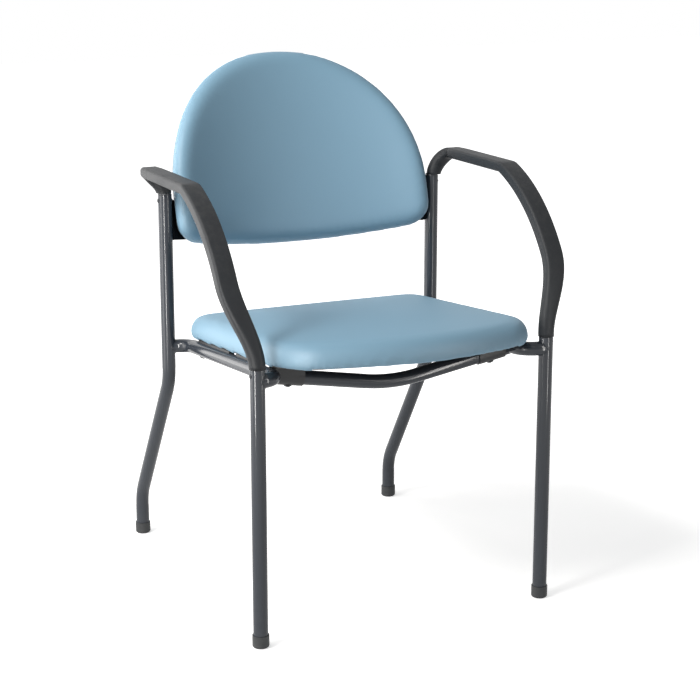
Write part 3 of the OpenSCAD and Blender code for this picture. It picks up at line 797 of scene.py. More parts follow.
@dataclass(frozen=True)
class Arm:
    """A moulded loop arm from the front leg's top to the upright's top."""

    side: Side
    height: float = 664.5
    width: float = 31.0
    flat_depth: float = 17.0
    sweep_depth: float = 20.5
    outboard: float = 30.0
    sweep_radius: float = 275.0
    flare_height: float = 120.0
    edge_radius: float = 5.0
    front_blend: float = 125.0
    neck_blend: float = 70.0
    neck_thin: float = 48.0
    neck_out_length: float = 52.0
    neck_out: float = 2.5
    neck_fore: float = 3.0
    elbow_slope: float = 20.0
    elbow_radius: float = 24.0
    neck_radius: float = 20.5
    end_diameter: float = 24.4
    collar: float = 3.0
    lip: float = 1.0
    turn_in: float = 4.0
    section_points: int = 48
    sweep_steps: int = 56
    elbow_steps: int = 8
    flat_steps: int = 20
    bend_steps: int = 18
    neck_steps: int = 8

    @property
    def mid_height(self) -> float:
        """Height of the centre line along the flat."""
        return self.height - self.flat_depth / 2

    @property
    def neck_low(self) -> float:
        """Height at which the neck ends over the upright."""
        return FRAME.upright_height + self.collar

    def stations(self) -> list[Station]:
        """The path from front to rear, with an even run of stations.

        Returns:
            The stations in order.
        """
        slope = math.radians(self.elbow_slope)
        drop = self.elbow_radius * (1 - math.cos(slope))
        centre_z = self.mid_height - drop - self.sweep_radius * math.cos(slope)
        start = math.asin((FRAME.front_leg_height - centre_z) / self.sweep_radius)
        centre_y = FRAME.front_leg_y + self.sweep_radius * math.cos(start)
        elbow_y = centre_y - self.sweep_radius * math.sin(slope) + self.elbow_radius * math.sin(slope)
        return self._sweep(centre_y, centre_z, start) + self._elbow(elbow_y) + self._neck(elbow_y)

    def _sweep(self, centre_y: float, centre_z: float, start: float) -> list[Station]:
        """The sweep from the front leg's top to the elbow.

        Args:
            centre_y: Y of the sweep's centre.
            centre_z: Its height.
            start: Angle of the sweep's first point over the level, in radians.

        Returns:
            The stations in order.
        """
        turn = math.pi / 2 - math.radians(self.elbow_slope) - start
        found = []
        for i in range(self.sweep_steps + 1):
            a = start + turn * i / self.sweep_steps
            y = centre_y - self.sweep_radius * math.cos(a)
            z = centre_z + self.sweep_radius * math.sin(a)
            climb = 90.0 if i == 0 else 90.0 - math.degrees(a)
            out = ease((z - FRAME.front_leg_height) / self.flare_height)
            found.append(Station(y, z, climb, out))
        return found

    def _elbow(self, elbow_y: float) -> list[Station]:
        """The bend from the sweep to the flat.

        Args:
            elbow_y: Y of the bend's centre and of the flat's first point.

        Returns:
            The stations in order.
        """
        found = []
        for i in range(1, self.elbow_steps + 1):
            a = math.radians(self.elbow_slope) * (1 - i / self.elbow_steps)
            y = elbow_y - self.elbow_radius * math.sin(a)
            z = self.mid_height - self.elbow_radius * (1 - math.cos(a))
            found.append(Station(y, z, math.degrees(a), 1.0))
        return found

    def _neck(self, elbow_y: float) -> list[Station]:
        """The flat, the bend down at its rear and the neck over the upright.

        Args:
            elbow_y: Y of the flat's first point.

        Returns:
            The stations in order.
        """
        reach = FRAME.upright_y - self.neck_radius - elbow_y
        rise = self.mid_height - self.neck_low - self.neck_radius
        bend = self.neck_radius * math.pi / 2
        found = []
        for i in range(1, self.flat_steps):
            out = self._out(rise + bend + reach * (1 - i / self.flat_steps))
            y = elbow_y + reach * i / self.flat_steps
            found.append(Station(y, self.mid_height, 0.0, out))
        for i in range(self.bend_steps + 1):
            a = math.pi / 2 * i / self.bend_steps
            y = FRAME.upright_y - self.neck_radius * (1 - math.sin(a))
            z = self.mid_height - self.neck_radius * (1 - math.cos(a))
            out = self._out(rise + bend * (1 - i / self.bend_steps))
            found.append(Station(y, z, -math.degrees(a), out))
        for i in range(1, self.neck_steps + 1):
            left = rise * (1 - i / self.neck_steps)
            found.append(Station(FRAME.upright_y, self.neck_low + left, -90.0, self._out(left)))
        return found

    def _out(self, left: float) -> float:
        """Share of the outboard throw where so much of the path is left at the rear."""
        return ease(left / self.neck_out_length)

    def build(self) -> bpy.types.Object:
        """Makes the arm.

        Returns:
            The piece, which stands for the CAD arm pad.
        """
        path = self.stations()
        places = [Vector((FRAME.frame_width / 2 + self.outboard * s.out, s.y, s.z)) for s in path]
        rings = [self._section(index, path, places) for index in range(len(path))]
        front, rear = self._lip(rings[0], places[0]), self._lip(rings[-1], places[-1])
        rings = front + rings[1:-1] + list(reversed(rear))
        mesh = bmesh.new()
        skin(
            mesh,
            [[self._sided(p) for p in ring] for ring in rings],
            caps=(self._sided(places[0]), self._sided(places[-1])),
        )
        arm = mesh_object(f"arm_urethane_{self.side.letter}", mesh)
        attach(arm, "root")
        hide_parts(f"arm_pad_{self.side.letter}")
        return arm

    def _sided(self, point: Vector) -> Vector:
        """A point of the right arm in millimetres, on this arm's side in chair metres."""
        return Vector((point.x * self.side.value, point.y, point.z)) * MM

    def _section(
        self, index: int, path: Sequence[Station], places: Sequence[Vector]
    ) -> list[Vector]:
        """The arm's section at a station, round at the arm's ends and flat between them.

        Args:
            index: The station's number.
            path: All the stations.
            places: Their places on the right arm, in millimetres.

        Returns:
            The section's points.
        """
        at, last = places[index], len(places) - 1
        front = ease((at - places[0]).length / self.front_blend)
        to_end = (at - places[-1]).length
        rear = ease(to_end / self.neck_blend)
        flat = min(front, rear)
        thin = min(front, ease(to_end / self.neck_thin))
        slope = path[index].slope
        depth = self.flat_depth
        depth += (self.sweep_depth - self.flat_depth) * ease(slope / (2 * self.elbow_slope))
        end = self.end_diameter / 2
        half_w = end * (1 - flat) + self.width / 2 * flat
        half_t = end * (1 - thin) + depth / 2 * thin
        radius = min(half_t, half_w, end * (1 - flat) + self.edge_radius * flat)
        if index in (0, last):
            run = Vector((0.0, math.cos(math.radians(slope)), math.sin(math.radians(slope))))
        else:
            run = (places[index + 1] - places[index - 1]).normalized()
        wide = (Vector((1.0, 0.0, 0.0)) - run * run.x).normalized()
        thick = run.cross(wide)
        at = at + (wide * self.neck_out + thick * self.neck_fore) * (1 - rear)
        points = []
        for k in range(self.section_points):
            a = 2 * math.pi * (k + 0.5) / self.section_points
            u = math.copysign(half_w - radius, math.cos(a)) + radius * math.cos(a)
            v = math.copysign(half_t - radius, math.sin(a)) + radius * math.sin(a)
            points.append(at + wide * u + thick * v)
        return points

    def _lip(self, ring: Sequence[Vector], at: Vector) -> list[list[Vector]]:
        """Turns an end of the arm in over its tube.

        Args:
            ring: The end's section.
            at: The section's middle.

        Returns:
            Rings from the innermost to the section itself.
        """
        bore = (FRAME.tube / 2 - self.turn_in) / (self.end_diameter / 2)
        edge = 1 - self.lip / (self.end_diameter / 2)
        shares = (bore, edge, (1 + edge) / 2, 1.0)
        return [[at + (p - at) * share for p in ring] for share in shares]


@dataclass(frozen=True)
class WeldBead:
    """A bead where a tube butts against another of the same size.

    Attributes:
        name: Name of the piece.
        corner: Point on both centre lines, in chair millimetres.
        butted: Unit vector along the butted tube, away from the other.
        through: Unit vector along the tube that it meets.
        reach: How far the bead's middle stands off the tubes' surfaces, in millimetres.
        radius: Radius of the bead.
        points: Number of points along it.
        sides: Number of points round it.
        ripples: Number of its ripples.
        ripple: Their height, as a share of the radius.
        wander: How far the radius wanders besides, as a share of it.
        wander_scale: How quickly it wanders, per millimetre.
        blunt: How far the bead's inner turns are eased, in squared tube radii.
    """

    name: str
    corner: Vector
    butted: Vector
    through: Vector
    reach: float = -0.05
    radius: float = 0.55
    points: int = 144
    sides: int = 10
    ripples: int = 24
    ripple: float = 0.05
    wander: float = 0.12
    wander_scale: float = 0.4
    blunt: float = 0.03

    def build(self) -> bpy.types.Object:
        """Makes the bead as a rippled ring along the line where the tubes meet.

        Returns:
            The piece.
        """
        run = self.butted.normalized()
        axis = (self.through - run * self.through.dot(run)).normalized()
        other = run.cross(axis)
        tube = FRAME.tube / 2 + self.reach
        line = []
        for i in range(self.points):
            a = 2 * math.pi * i / self.points
            out = axis * math.cos(a) + other * math.sin(a)
            line.append(self.corner + out * tube + run * tube * self._depth(a))
        rings = []
        for i, at in enumerate(line):
            ahead = (line[(i + 1) % self.points] - line[i - 1]).normalized()
            first = ahead.cross(run).normalized()
            second = ahead.cross(first)
            wave = math.sin(2 * math.pi * i / self.points * self.ripples)
            swell = self.radius * (1 + self.ripple * wave)
            swell *= 1 + self.wander * noise.noise(at * self.wander_scale)
            ring = []
            for k in range(self.sides):
                b = 2 * math.pi * k / self.sides
                ring.append((at + (first * math.cos(b) + second * math.sin(b)) * swell) * MM)
            rings.append(ring)
        mesh = bmesh.new()
        skin(mesh, rings, closed=True)
        bead = mesh_object(self.name, mesh)
        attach(bead, "root")
        return bead

    def _depth(self, angle: float) -> float:
        """How far from the corner the butted tube meets the other, in tube radii."""
        return math.sqrt(math.cos(angle) ** 2 + self.blunt)


def weld_beads() -> list[bpy.types.Object]:
    """The beads where the side rails meet the front legs and the uprights.

    Returns:
        The pieces.
    """
    beads = []
    pitch = math.radians(FRAME.pitch)
    length = FRAME.frame_depth / math.cos(pitch)
    for side in Side:
        sign = float(side.value)
        for place, fore in (("rear", 0.0), ("front", length)):
            corner = FRAME.pitched @ Vector((sign * FRAME.frame_width / 2, -fore, 0.0)) / MM
            inward, up = Vector((-sign, 0.0, 0.0)), Vector((0.0, 0.0, 1.0))
            beads.append(WeldBead(f"weld_{place}_{side.letter}", corner, inward, up).build())
    return beads


# Materials


class Tree:
    """A thin helper over a node tree."""

    def __init__(self, tree: bpy.types.NodeTree) -> None:
        """Takes the node tree that it works on."""
        self.tree = tree

    def add(self, kind: str, **settings: object) -> bpy.types.Node:
        """Adds a node.

        Args:
            kind: Its type name.
            **settings: Its properties.

        Returns:
            The node.
        """
        node = self.tree.nodes.new(kind)
        for name, value in settings.items():
            setattr(node, name, value)
        return node

    def link(self, out: bpy.types.NodeSocket, into: bpy.types.NodeSocket) -> None:
        """Joins an output socket to an input socket."""
        self.tree.links.new(out, into)

    def maths(
        self, operation: str, a: object, b: object, clamp: bool = False
    ) -> bpy.types.NodeSocket:
        """A Math node over two sockets or numbers.

        Args:
            operation: The operation's name.
            a: First socket or number.
            b: Second socket or number.
            clamp: Whether the result is kept from 0 to 1.

        Returns:
            The result's socket.
        """
        node = self.add("ShaderNodeMath", operation=operation, use_clamp=clamp)
        for socket, value in zip(node.inputs, (a, b)):
            if isinstance(value, bpy.types.NodeSocket):
                self.link(value, socket)
            else:
                socket.default_value = float(value)
        return node.outputs[0]

    def mix(self, share: object, a: object, b: object) -> bpy.types.NodeSocket:
        """Mixes two colours.

        Args:
            share: Share of the second, a number or a socket.
            a: First colour, or its socket.
            b: Second colour, or its socket.

        Returns:
            The result's socket.
        """
        node = self.add("ShaderNodeMix", data_type="RGBA")
        for socket, value in ((node.inputs[0], share), (node.inputs[6], a), (node.inputs[7], b)):
            if isinstance(value, bpy.types.NodeSocket):
                self.link(value, socket)
            elif isinstance(value, tuple):
                socket.default_value = (*value, 1.0)
            else:
                socket.default_value = float(value)
        return node.outputs[2]

    def noise(self, scale: float, detail: float, roughness: float = 0.55) -> bpy.types.Node:
        """A noise texture over object coordinates.

        Args:
            scale: Its scale, per metre.
            detail: Its detail.
            roughness: Its roughness.

        Returns:
            The node.
        """
        node = self.add("ShaderNodeTexNoise")
        node.inputs["Scale"].default_value = scale
        node.inputs["Detail"].default_value = detail
        node.inputs["Roughness"].default_value = roughness
        self.link(self.coordinates(), node.inputs["Vector"])
        return node

    def coordinates(self) -> bpy.types.NodeSocket:
        """Object coordinates, which are the chair's own metres.

        Returns:
            Their socket.
        """
        found = [n for n in self.tree.nodes if n.type == "TEX_COORD"]
        node = found[0] if found else self.add("ShaderNodeTexCoord")
        return node.outputs["Object"]

    def ramp(self, value: bpy.types.NodeSocket, low: float, high: float) -> bpy.types.NodeSocket:
        """Spreads a value's range to nought and one, eased and clamped.

        Args:
            value: The value's socket.
            low: What becomes nought.
            high: What becomes one.

        Returns:
            The result's socket.
        """
        node = self.add("ShaderNodeMapRange", interpolation_type="SMOOTHSTEP")
        node.inputs["From Min"].default_value = low
        node.inputs["From Max"].default_value = high
        self.link(value, node.inputs["Value"])
        return node.outputs["Result"]


def shared_group(
    name: str, outputs: dict[str, str], fill: Callable[[Tree, bpy.types.Node], None]
) -> bpy.types.NodeTree:
    """Makes a shader node group once, and hands it out after that.

    Args:
        name: Name of the group.
        outputs: Its output sockets' names and types.
        fill: Builds its nodes, given the tree and its output node.

    Returns:
        The group.
    """
    found = bpy.data.node_groups.get(name)
    if found:
        return found
    group = bpy.data.node_groups.new(name, "ShaderNodeTree")
    for label, kind in outputs.items():
        group.interface.new_socket(label, in_out="OUTPUT", socket_type=kind)
    tree = Tree(group)
    fill(tree, tree.add("NodeGroupOutput"))
    return group


def _fill_vinyl_grain(tree: Tree, out: bpy.types.Node) -> None:
    """Fine pebbled grain with hairline valleys, and slow unevenness of the cover.

    Args:
        tree: The group's nodes.
        out: Its output node.
    """
    cells = tree.add("ShaderNodeTexVoronoi", feature="DISTANCE_TO_EDGE")
    cells.inputs["Scale"].default_value = 900.0
    warp = tree.noise(260.0, detail=2.0)
    shift = tree.add("ShaderNodeMix", data_type="VECTOR")
    shift.inputs[0].default_value = 0.0015
    tree.link(tree.coordinates(), shift.inputs[4])
    tree.link(warp.outputs["Color"], shift.inputs[5])
    tree.link(shift.outputs[1], cells.inputs["Vector"])
    tree.link(tree.ramp(cells.outputs["Distance"], low=0.0, high=0.09), out.inputs["Grain"])
    tree.link(tree.noise(14.0, detail=2.0).outputs["Fac"], out.inputs["Unevenness"])
    tree.link(tree.noise(55.0, detail=4.0, roughness=0.6).outputs["Fac"], out.inputs["Handling"])


def _fill_paint(tree: Tree, out: bpy.types.Node) -> None:
    """Powder coat's orange peel, metal flake and the marks of handling.

    Args:
        tree: The group's nodes.
        out: Its output node.
    """
    tree.link(tree.noise(420.0, detail=2.0).outputs["Fac"], out.inputs["Peel"])
    flake = tree.add("ShaderNodeTexVoronoi", feature="F1")
    flake.inputs["Scale"].default_value = 2600.0
    tree.link(tree.coordinates(), flake.inputs["Vector"])
    spark = tree.add("ShaderNodeSeparateColor")
    tree.link(flake.outputs["Color"], spark.inputs["Color"])
    tree.link(spark.outputs[0], out.inputs["Flake"])
    tree.link(tree.noise(38.0, detail=5.0, roughness=0.62).outputs["Fac"], out.inputs["Handling"])


def _fill_mould(tree: Tree, out: bpy.types.Node) -> None:
    """A moulded skin's fine texture and its slow cloudiness.

    Args:
        tree: The group's nodes.
        out: Its output node.
    """
    tree.link(tree.noise(1500.0, detail=2.0).outputs["Fac"], out.inputs["Texture"])
    tree.link(tree.noise(24.0, detail=4.0, roughness=0.6).outputs["Fac"], out.inputs["Cloud"])


def _fill_dust(tree: Tree, out: bpy.types.Node) -> None:
    """Dust that lies where a surface faces up, thicker near the floor.

    Args:
        tree: The group's nodes.
        out: Its output node.
    """
    facing = tree.add("ShaderNodeNewGeometry")
    split = tree.add("ShaderNodeSeparateXYZ")
    tree.link(facing.outputs["Normal"], split.inputs[0])
    up = tree.ramp(split.outputs["Z"], low=0.2, high=1.0)
    height = tree.add("ShaderNodeSeparateXYZ")
    tree.link(tree.coordinates(), height.inputs[0])
    near_floor = tree.ramp(height.outputs["Z"], low=0.10, high=0.0)
    patches = tree.noise(90.0, detail=5.0, roughness=0.7)
    patchy = tree.ramp(patches.outputs["Fac"], low=0.35, high=0.75)
    half_up, half_low = (tree.maths("MULTIPLY", mask, 0.5) for mask in (up, near_floor))
    lain = tree.maths("ADD", half_up, half_low, clamp=True)
    tree.link(tree.maths("MULTIPLY", lain, patchy), out.inputs["Dust"])


class Effect(Enum):
    """The shared effects, as node groups."""

    VINYL_GRAIN = "vinyl grain"
    PAINT = "powder coat"
    MOULD = "moulded skin"
    DUST = "dust"

    def group(self) -> bpy.types.NodeTree:
        """The effect's node group, made once.

        Returns:
            The group.
        """
        value = "NodeSocketFloat"
        made = {
            Effect.VINYL_GRAIN: (
                {"Grain": value, "Unevenness": value, "Handling": value},
                _fill_vinyl_grain,
            ),
            Effect.PAINT: ({"Peel": value, "Flake": value, "Handling": value}, _fill_paint),
            Effect.MOULD: ({"Texture": value, "Cloud": value}, _fill_mould),
            Effect.DUST: ({"Dust": value}, _fill_dust),
        }[self]
        return shared_group(self.value, *made)


@dataclass(frozen=True)
class Relief:
    """A bump.

    Attributes:
        strength: Its strength.
        depth: Its depth in metres.
    """

    strength: float
    depth: float


@dataclass(frozen=True)
class Finish:
    """A surface finish.

    Attributes:
        name: Name of the material.
        colour: Base colour, linear.
        roughness: Middle roughness.
    """

    name: str
    colour: Colour
    roughness: float

    def material(self) -> bpy.types.Material:
        """The finish's material, made once.

        Returns:
            The material.
        """
        found = bpy.data.materials.get(self.name)
        if found:
            return found
        made = bpy.data.materials.new(self.name)
        made.use_nodes = True
        made.node_tree.nodes.clear()
        tree = Tree(made.node_tree)
        out = tree.add("ShaderNodeOutputMaterial")
        shader = tree.add("ShaderNodeBsdfPrincipled")
        tree.link(shader.outputs[0], out.inputs["Surface"])
        shader.inputs["Roughness"].default_value = self.roughness
        shader.inputs["Base Color"].default_value = (*self.colour, 1.0)
        self.dress(tree, shader)
        return made

    def dress(self, tree: Tree, shader: bpy.types.Node) -> None:
        """Adds the finish's own nodes.

        Args:
            tree: The material's nodes.
            shader: Its Principled BSDF.
        """

    def scaled(self, factor: float) -> Colour:
        """The base colour made lighter or darker."""
        return (self.colour[0] * factor, self.colour[1] * factor, self.colour[2] * factor)

    @staticmethod
    def effect(tree: Tree, effect: Effect) -> bpy.types.Node:
        """Adds a shared effect to a material.

        Args:
            tree: The material's nodes.
            effect: The effect.

        Returns:
            The group's node.
        """
        node = tree.add("ShaderNodeGroup")
        node.node_tree = effect.group()
        return node

    @staticmethod
    def bump(
        tree: Tree,
        shader: bpy.types.Node,
        layers: Sequence[tuple[bpy.types.NodeSocket, Relief]],
    ) -> None:
        """Stacks bumps.

        Args:
            tree: The material's nodes.
            shader: Its Principled BSDF.
            layers: For each bump, the height's socket and its relief.
        """
        normal = None
        for height, relief in layers:
            node = tree.add("ShaderNodeBump")
            node.inputs["Strength"].default_value = relief.strength
            node.inputs["Distance"].default_value = relief.depth
            tree.link(height, node.inputs["Height"])
            if normal:
                tree.link(normal, node.inputs["Normal"])
            normal = node.outputs["Normal"]
        tree.link(normal, shader.inputs["Normal"])

    def vary_roughness(
        self, tree: Tree, shader: bpy.types.Node, mask: bpy.types.NodeSocket, spread: float
    ) -> None:
        """Lets the roughness wander about its middle with a mask.

        Args:
            tree: The material's nodes.
            shader: Its Principled BSDF.
            mask: The mask's socket, about one half in the middle.
            spread: How far the roughness wanders either way.
        """
        value = tree.maths("MULTIPLY", tree.maths("SUBTRACT", mask, 0.5), 2 * spread)
        rough = tree.maths("ADD", value, self.roughness, clamp=True)
        tree.link(rough, shader.inputs["Roughness"])


@dataclass(frozen=True)
class Vinyl(Finish):
    """Upholstery vinyl with a fine grain.

    Attributes:
        tone: How far the colour wanders either way, as a share of it.
        valley: Colour of the grain's valleys, as a share of the rest.
        spread: How far the roughness wanders either way.
        specular: The body's specular level.
        coat: Weight of the gloss over the body.
        coat_roughness: Roughness of that gloss.
        waves: Relief of the cover's slow unevenness.
        grain: Relief of the grain.
    """

    tone: float = 0.04
    valley: float = 0.93
    spread: float = 0.10
    specular: float = 1.0
    coat: float = 0.5
    coat_roughness: float = 0.32
    waves: Relief = Relief(0.25, 0.0015)
    grain: Relief = Relief(0.35, 0.00006)

    def dress(self, tree: Tree, shader: bpy.types.Node) -> None:
        """Adds grain, slow unevenness and handling marks.

        Args:
            tree: The material's nodes.
            shader: Its Principled BSDF.
        """
        cover = self.effect(tree, Effect.VINYL_GRAIN)
        uneven, grain = cover.outputs["Unevenness"], cover.outputs["Grain"]
        tone = tree.mix(uneven, self.scaled(1 - self.tone), self.scaled(1 + self.tone))
        pebbled = tree.mix(grain, self.scaled(self.valley), tone)
        tree.link(pebbled, shader.inputs["Base Color"])
        self.vary_roughness(tree, shader, cover.outputs["Handling"], self.spread)
        shader.inputs["Specular IOR Level"].default_value = self.specular
        shader.inputs["Coat Weight"].default_value = self.coat
        shader.inputs["Coat Roughness"].default_value = self.coat_roughness
        self.bump(tree, shader, ((uneven, self.waves), (grain, self.grain)))


@dataclass(frozen=True)
class PowderCoat(Finish):
    """Powder coat on steel, whose gloss is a coat over a body without any.

    Attributes:
        flake: How far the flakes' colour wanders either way, as a share of it.
        coat: Weight of the gloss.
        coat_roughness: Roughness of the gloss.
        dust: How much of the colour the thickest dust hides.
        spread: How far the body's roughness wanders either way.
        peel: Relief of the orange peel.
    """

    flake: float = 0.1
    coat: float = 0.0
    coat_roughness: float = 0.15
    dust: float = 0.08
    spread: float = 0.03
    peel: Relief = Relief(0.04, 0.00010)

    def dress(self, tree: Tree, shader: bpy.types.Node) -> None:
        """Adds flake, gloss, orange peel, handling marks and dust.

        Args:
            tree: The material's nodes.
            shader: Its Principled BSDF.
        """
        paint = self.effect(tree, Effect.PAINT)
        fallen = self.effect(tree, Effect.DUST).outputs["Dust"]
        dark, bright = self.scaled(1 - self.flake), self.scaled(1 + self.flake)
        fleck = tree.mix(paint.outputs["Flake"], dark, bright)
        dusted = tree.mix(tree.maths("MULTIPLY", fallen, self.dust), fleck, DUST_COLOUR)
        tree.link(dusted, shader.inputs["Base Color"])
        shader.inputs["Specular IOR Level"].default_value = 0.0
        shader.inputs["Coat Weight"].default_value = self.coat
        shader.inputs["Coat Roughness"].default_value = self.coat_roughness
        self.vary_roughness(tree, shader, paint.outputs["Handling"], self.spread)
        self.bump(tree, shader, ((paint.outputs["Peel"], self.peel),))


@dataclass(frozen=True)
class Moulded(Finish):
    """A moulded plastic, urethane or rubber skin.

    Attributes:
        texture: Relief of the mould's texture.
        specular: The skin's specular level.
        tone: How far the colour wanders either way, as a share of it.
        dust: How much of the colour the thickest dust hides.
        spread: How far the roughness wanders either way.
    """

    texture: Relief = Relief(0.3, 0.00008)
    specular: float = 0.4
    tone: float = 0.12
    dust: float = 0.12
    spread: float = 0.08

    def dress(self, tree: Tree, shader: bpy.types.Node) -> None:
        """Adds the mould's texture, cloudiness and dust.

        Args:
            tree: The material's nodes.
            shader: Its Principled BSDF.
        """
        mould = self.effect(tree, Effect.MOULD)
        fallen = self.effect(tree, Effect.DUST).outputs["Dust"]
        cloud = mould.outputs["Cloud"]
        tone = tree.mix(cloud, self.scaled(1 - self.tone), self.scaled(1 + self.tone))
        dusted = tree.mix(tree.maths("MULTIPLY", fallen, self.dust), tone, DUST_COLOUR)
        tree.link(dusted, shader.inputs["Base Color"])
        shader.inputs["Specular IOR Level"].default_value = self.specular
        self.vary_roughness(tree, shader, cloud, self.spread)
        self.bump(tree, shader, ((mould.outputs["Texture"], self.texture),))


@dataclass(frozen=True)
class Steel(Finish):
    """Plain or plated steel.

    Attributes:
        dull: Colour of the least handled places, as a share of the base colour.
        bright: Colour of the most handled places, likewise.
        spread: How far the roughness wanders either way.
    """

    dull: float = 0.85
    bright: float = 1.1
    spread: float = 0.1

    def dress(self, tree: Tree, shader: bpy.types.Node) -> None:
        """Adds handling marks.

        Args:
            tree: The material's nodes.
            shader: Its Principled BSDF.
        """
        handling = self.effect(tree, Effect.PAINT).outputs["Handling"]
        tone = tree.mix(handling, self.scaled(self.dull), self.scaled(self.bright))
        tree.link(tone, shader.inputs["Base Color"])
        shader.inputs["Metallic"].default_value = 1.0
        self.vary_roughness(tree, shader, handling, self.spread)


@dataclass(frozen=True)
class Plywood(Finish):
    """Unfinished plywood, hidden inside the back.

    Attributes:
        dark: Colour of the dark streaks, as a share of the base colour.
        pale: Colour of the pale streaks, likewise.
        across: Scale of the streaks across the grain, per metre.
        along: Their scale along it.
    """

    dark: float = 0.75
    pale: float = 1.2
    across: float = 60.0
    along: float = 6.0

    def dress(self, tree: Tree, shader: bpy.types.Node) -> None:
        """Adds a streaked grain.

        Args:
            tree: The material's nodes.
            shader: Its Principled BSDF.
        """
        stretch = tree.add("ShaderNodeMapping")
        stretch.inputs["Scale"].default_value = (self.across, self.across, self.along)
        tree.link(tree.coordinates(), stretch.inputs["Vector"])
        streak = tree.add("ShaderNodeTexNoise")
        tree.link(stretch.outputs[0], streak.inputs["Vector"])
        tone = tree.mix(streak.outputs["Fac"], self.scaled(self.dark), self.scaled(self.pale))
        tree.link(tone, shader.inputs["Base Color"])


FINISHES: dict[str, Finish] = {
    "vinyl": Vinyl("vinyl", (0.198, 0.319, 0.402), 0.34),
    "frame_paint": PowderCoat("frame paint", (0.038, 0.045, 0.057), 0.34, flake=0.06, coat=0.7),
    "bracket_paint": PowderCoat("bracket paint", (0.014, 0.015, 0.017), 0.34),
    "foot_rubber": Moulded("foot rubber", (0.030, 0.033, 0.036), 0.55),
    "black_nylon": Moulded("black nylon", (0.014, 0.015, 0.017), 0.48),
    "black_screw": Steel("black screw", (0.035, 0.037, 0.040), 0.35),
    "arm_urethane": Moulded(
        "arm urethane", (0.024, 0.0265, 0.030), 0.50, texture=Relief(0.20, 0.00008), specular=0.18
    ),
    "zinc": Steel("zinc plate", (0.55, 0.56, 0.58), 0.35),
    "core_steel": Steel("blackened steel", (0.05, 0.052, 0.056), 0.45),
    "plywood": Plywood("plywood", (0.45, 0.32, 0.19), 0.65),
}


def wear(piece: bpy.types.Object, slot: str) -> None:
    """Gives a piece or CAD node the finish of a material slot.

    Args:
        piece: The object.
        slot: The record's slot name.
    """
    piece.data.materials.clear()
    piece.data.materials.append(FINISHES[slot].material())


# Studio


@dataclass(frozen=True)
class Lamp:
    """A soft box that stands on a circle round the chair and faces its axis.

    Attributes:
        name: Its name.
        azimuth: Its bearing from the chair's front towards the viewer's left, in degrees.
        height: Height of its middle, in metres.
        width: Width of its face.
        tall: Height of its face.
        power: Its power in watts.
        distance: Its distance from the chair's axis.
        colour: Its colour.
        mirrored: Whether it only shows as a highlight on glossy surfaces.
    """

    name: str
    azimuth: float
    height: float
    width: float
    tall: float
    power: float
    distance: float = 2.4
    colour: Colour = (1.0, 0.975, 0.945)
    mirrored: bool = False

    def hang(self) -> None:
        """Sets up the lamp, facing the chair's axis on the level."""
        data = bpy.data.lights.new(self.name, "AREA")
        data.shape = "RECTANGLE"
        data.size = self.width
        data.size_y = self.tall
        data.energy = self.power
        data.color = self.colour
        lamp = bpy.data.objects.new(self.name, data)
        bearing = math.radians(self.azimuth)
        away = Vector((-math.sin(bearing), -math.cos(bearing), 0.0)) * self.distance
        lamp.location = away + Vector((0.0, 0.0, self.height))
        lamp.rotation_euler = (-away).to_track_quat("-Z", "Y").to_euler()
        lamp.visible_camera = False
        lamp.visible_diffuse = not self.mirrored
        bpy.context.scene.collection.objects.link(lamp)


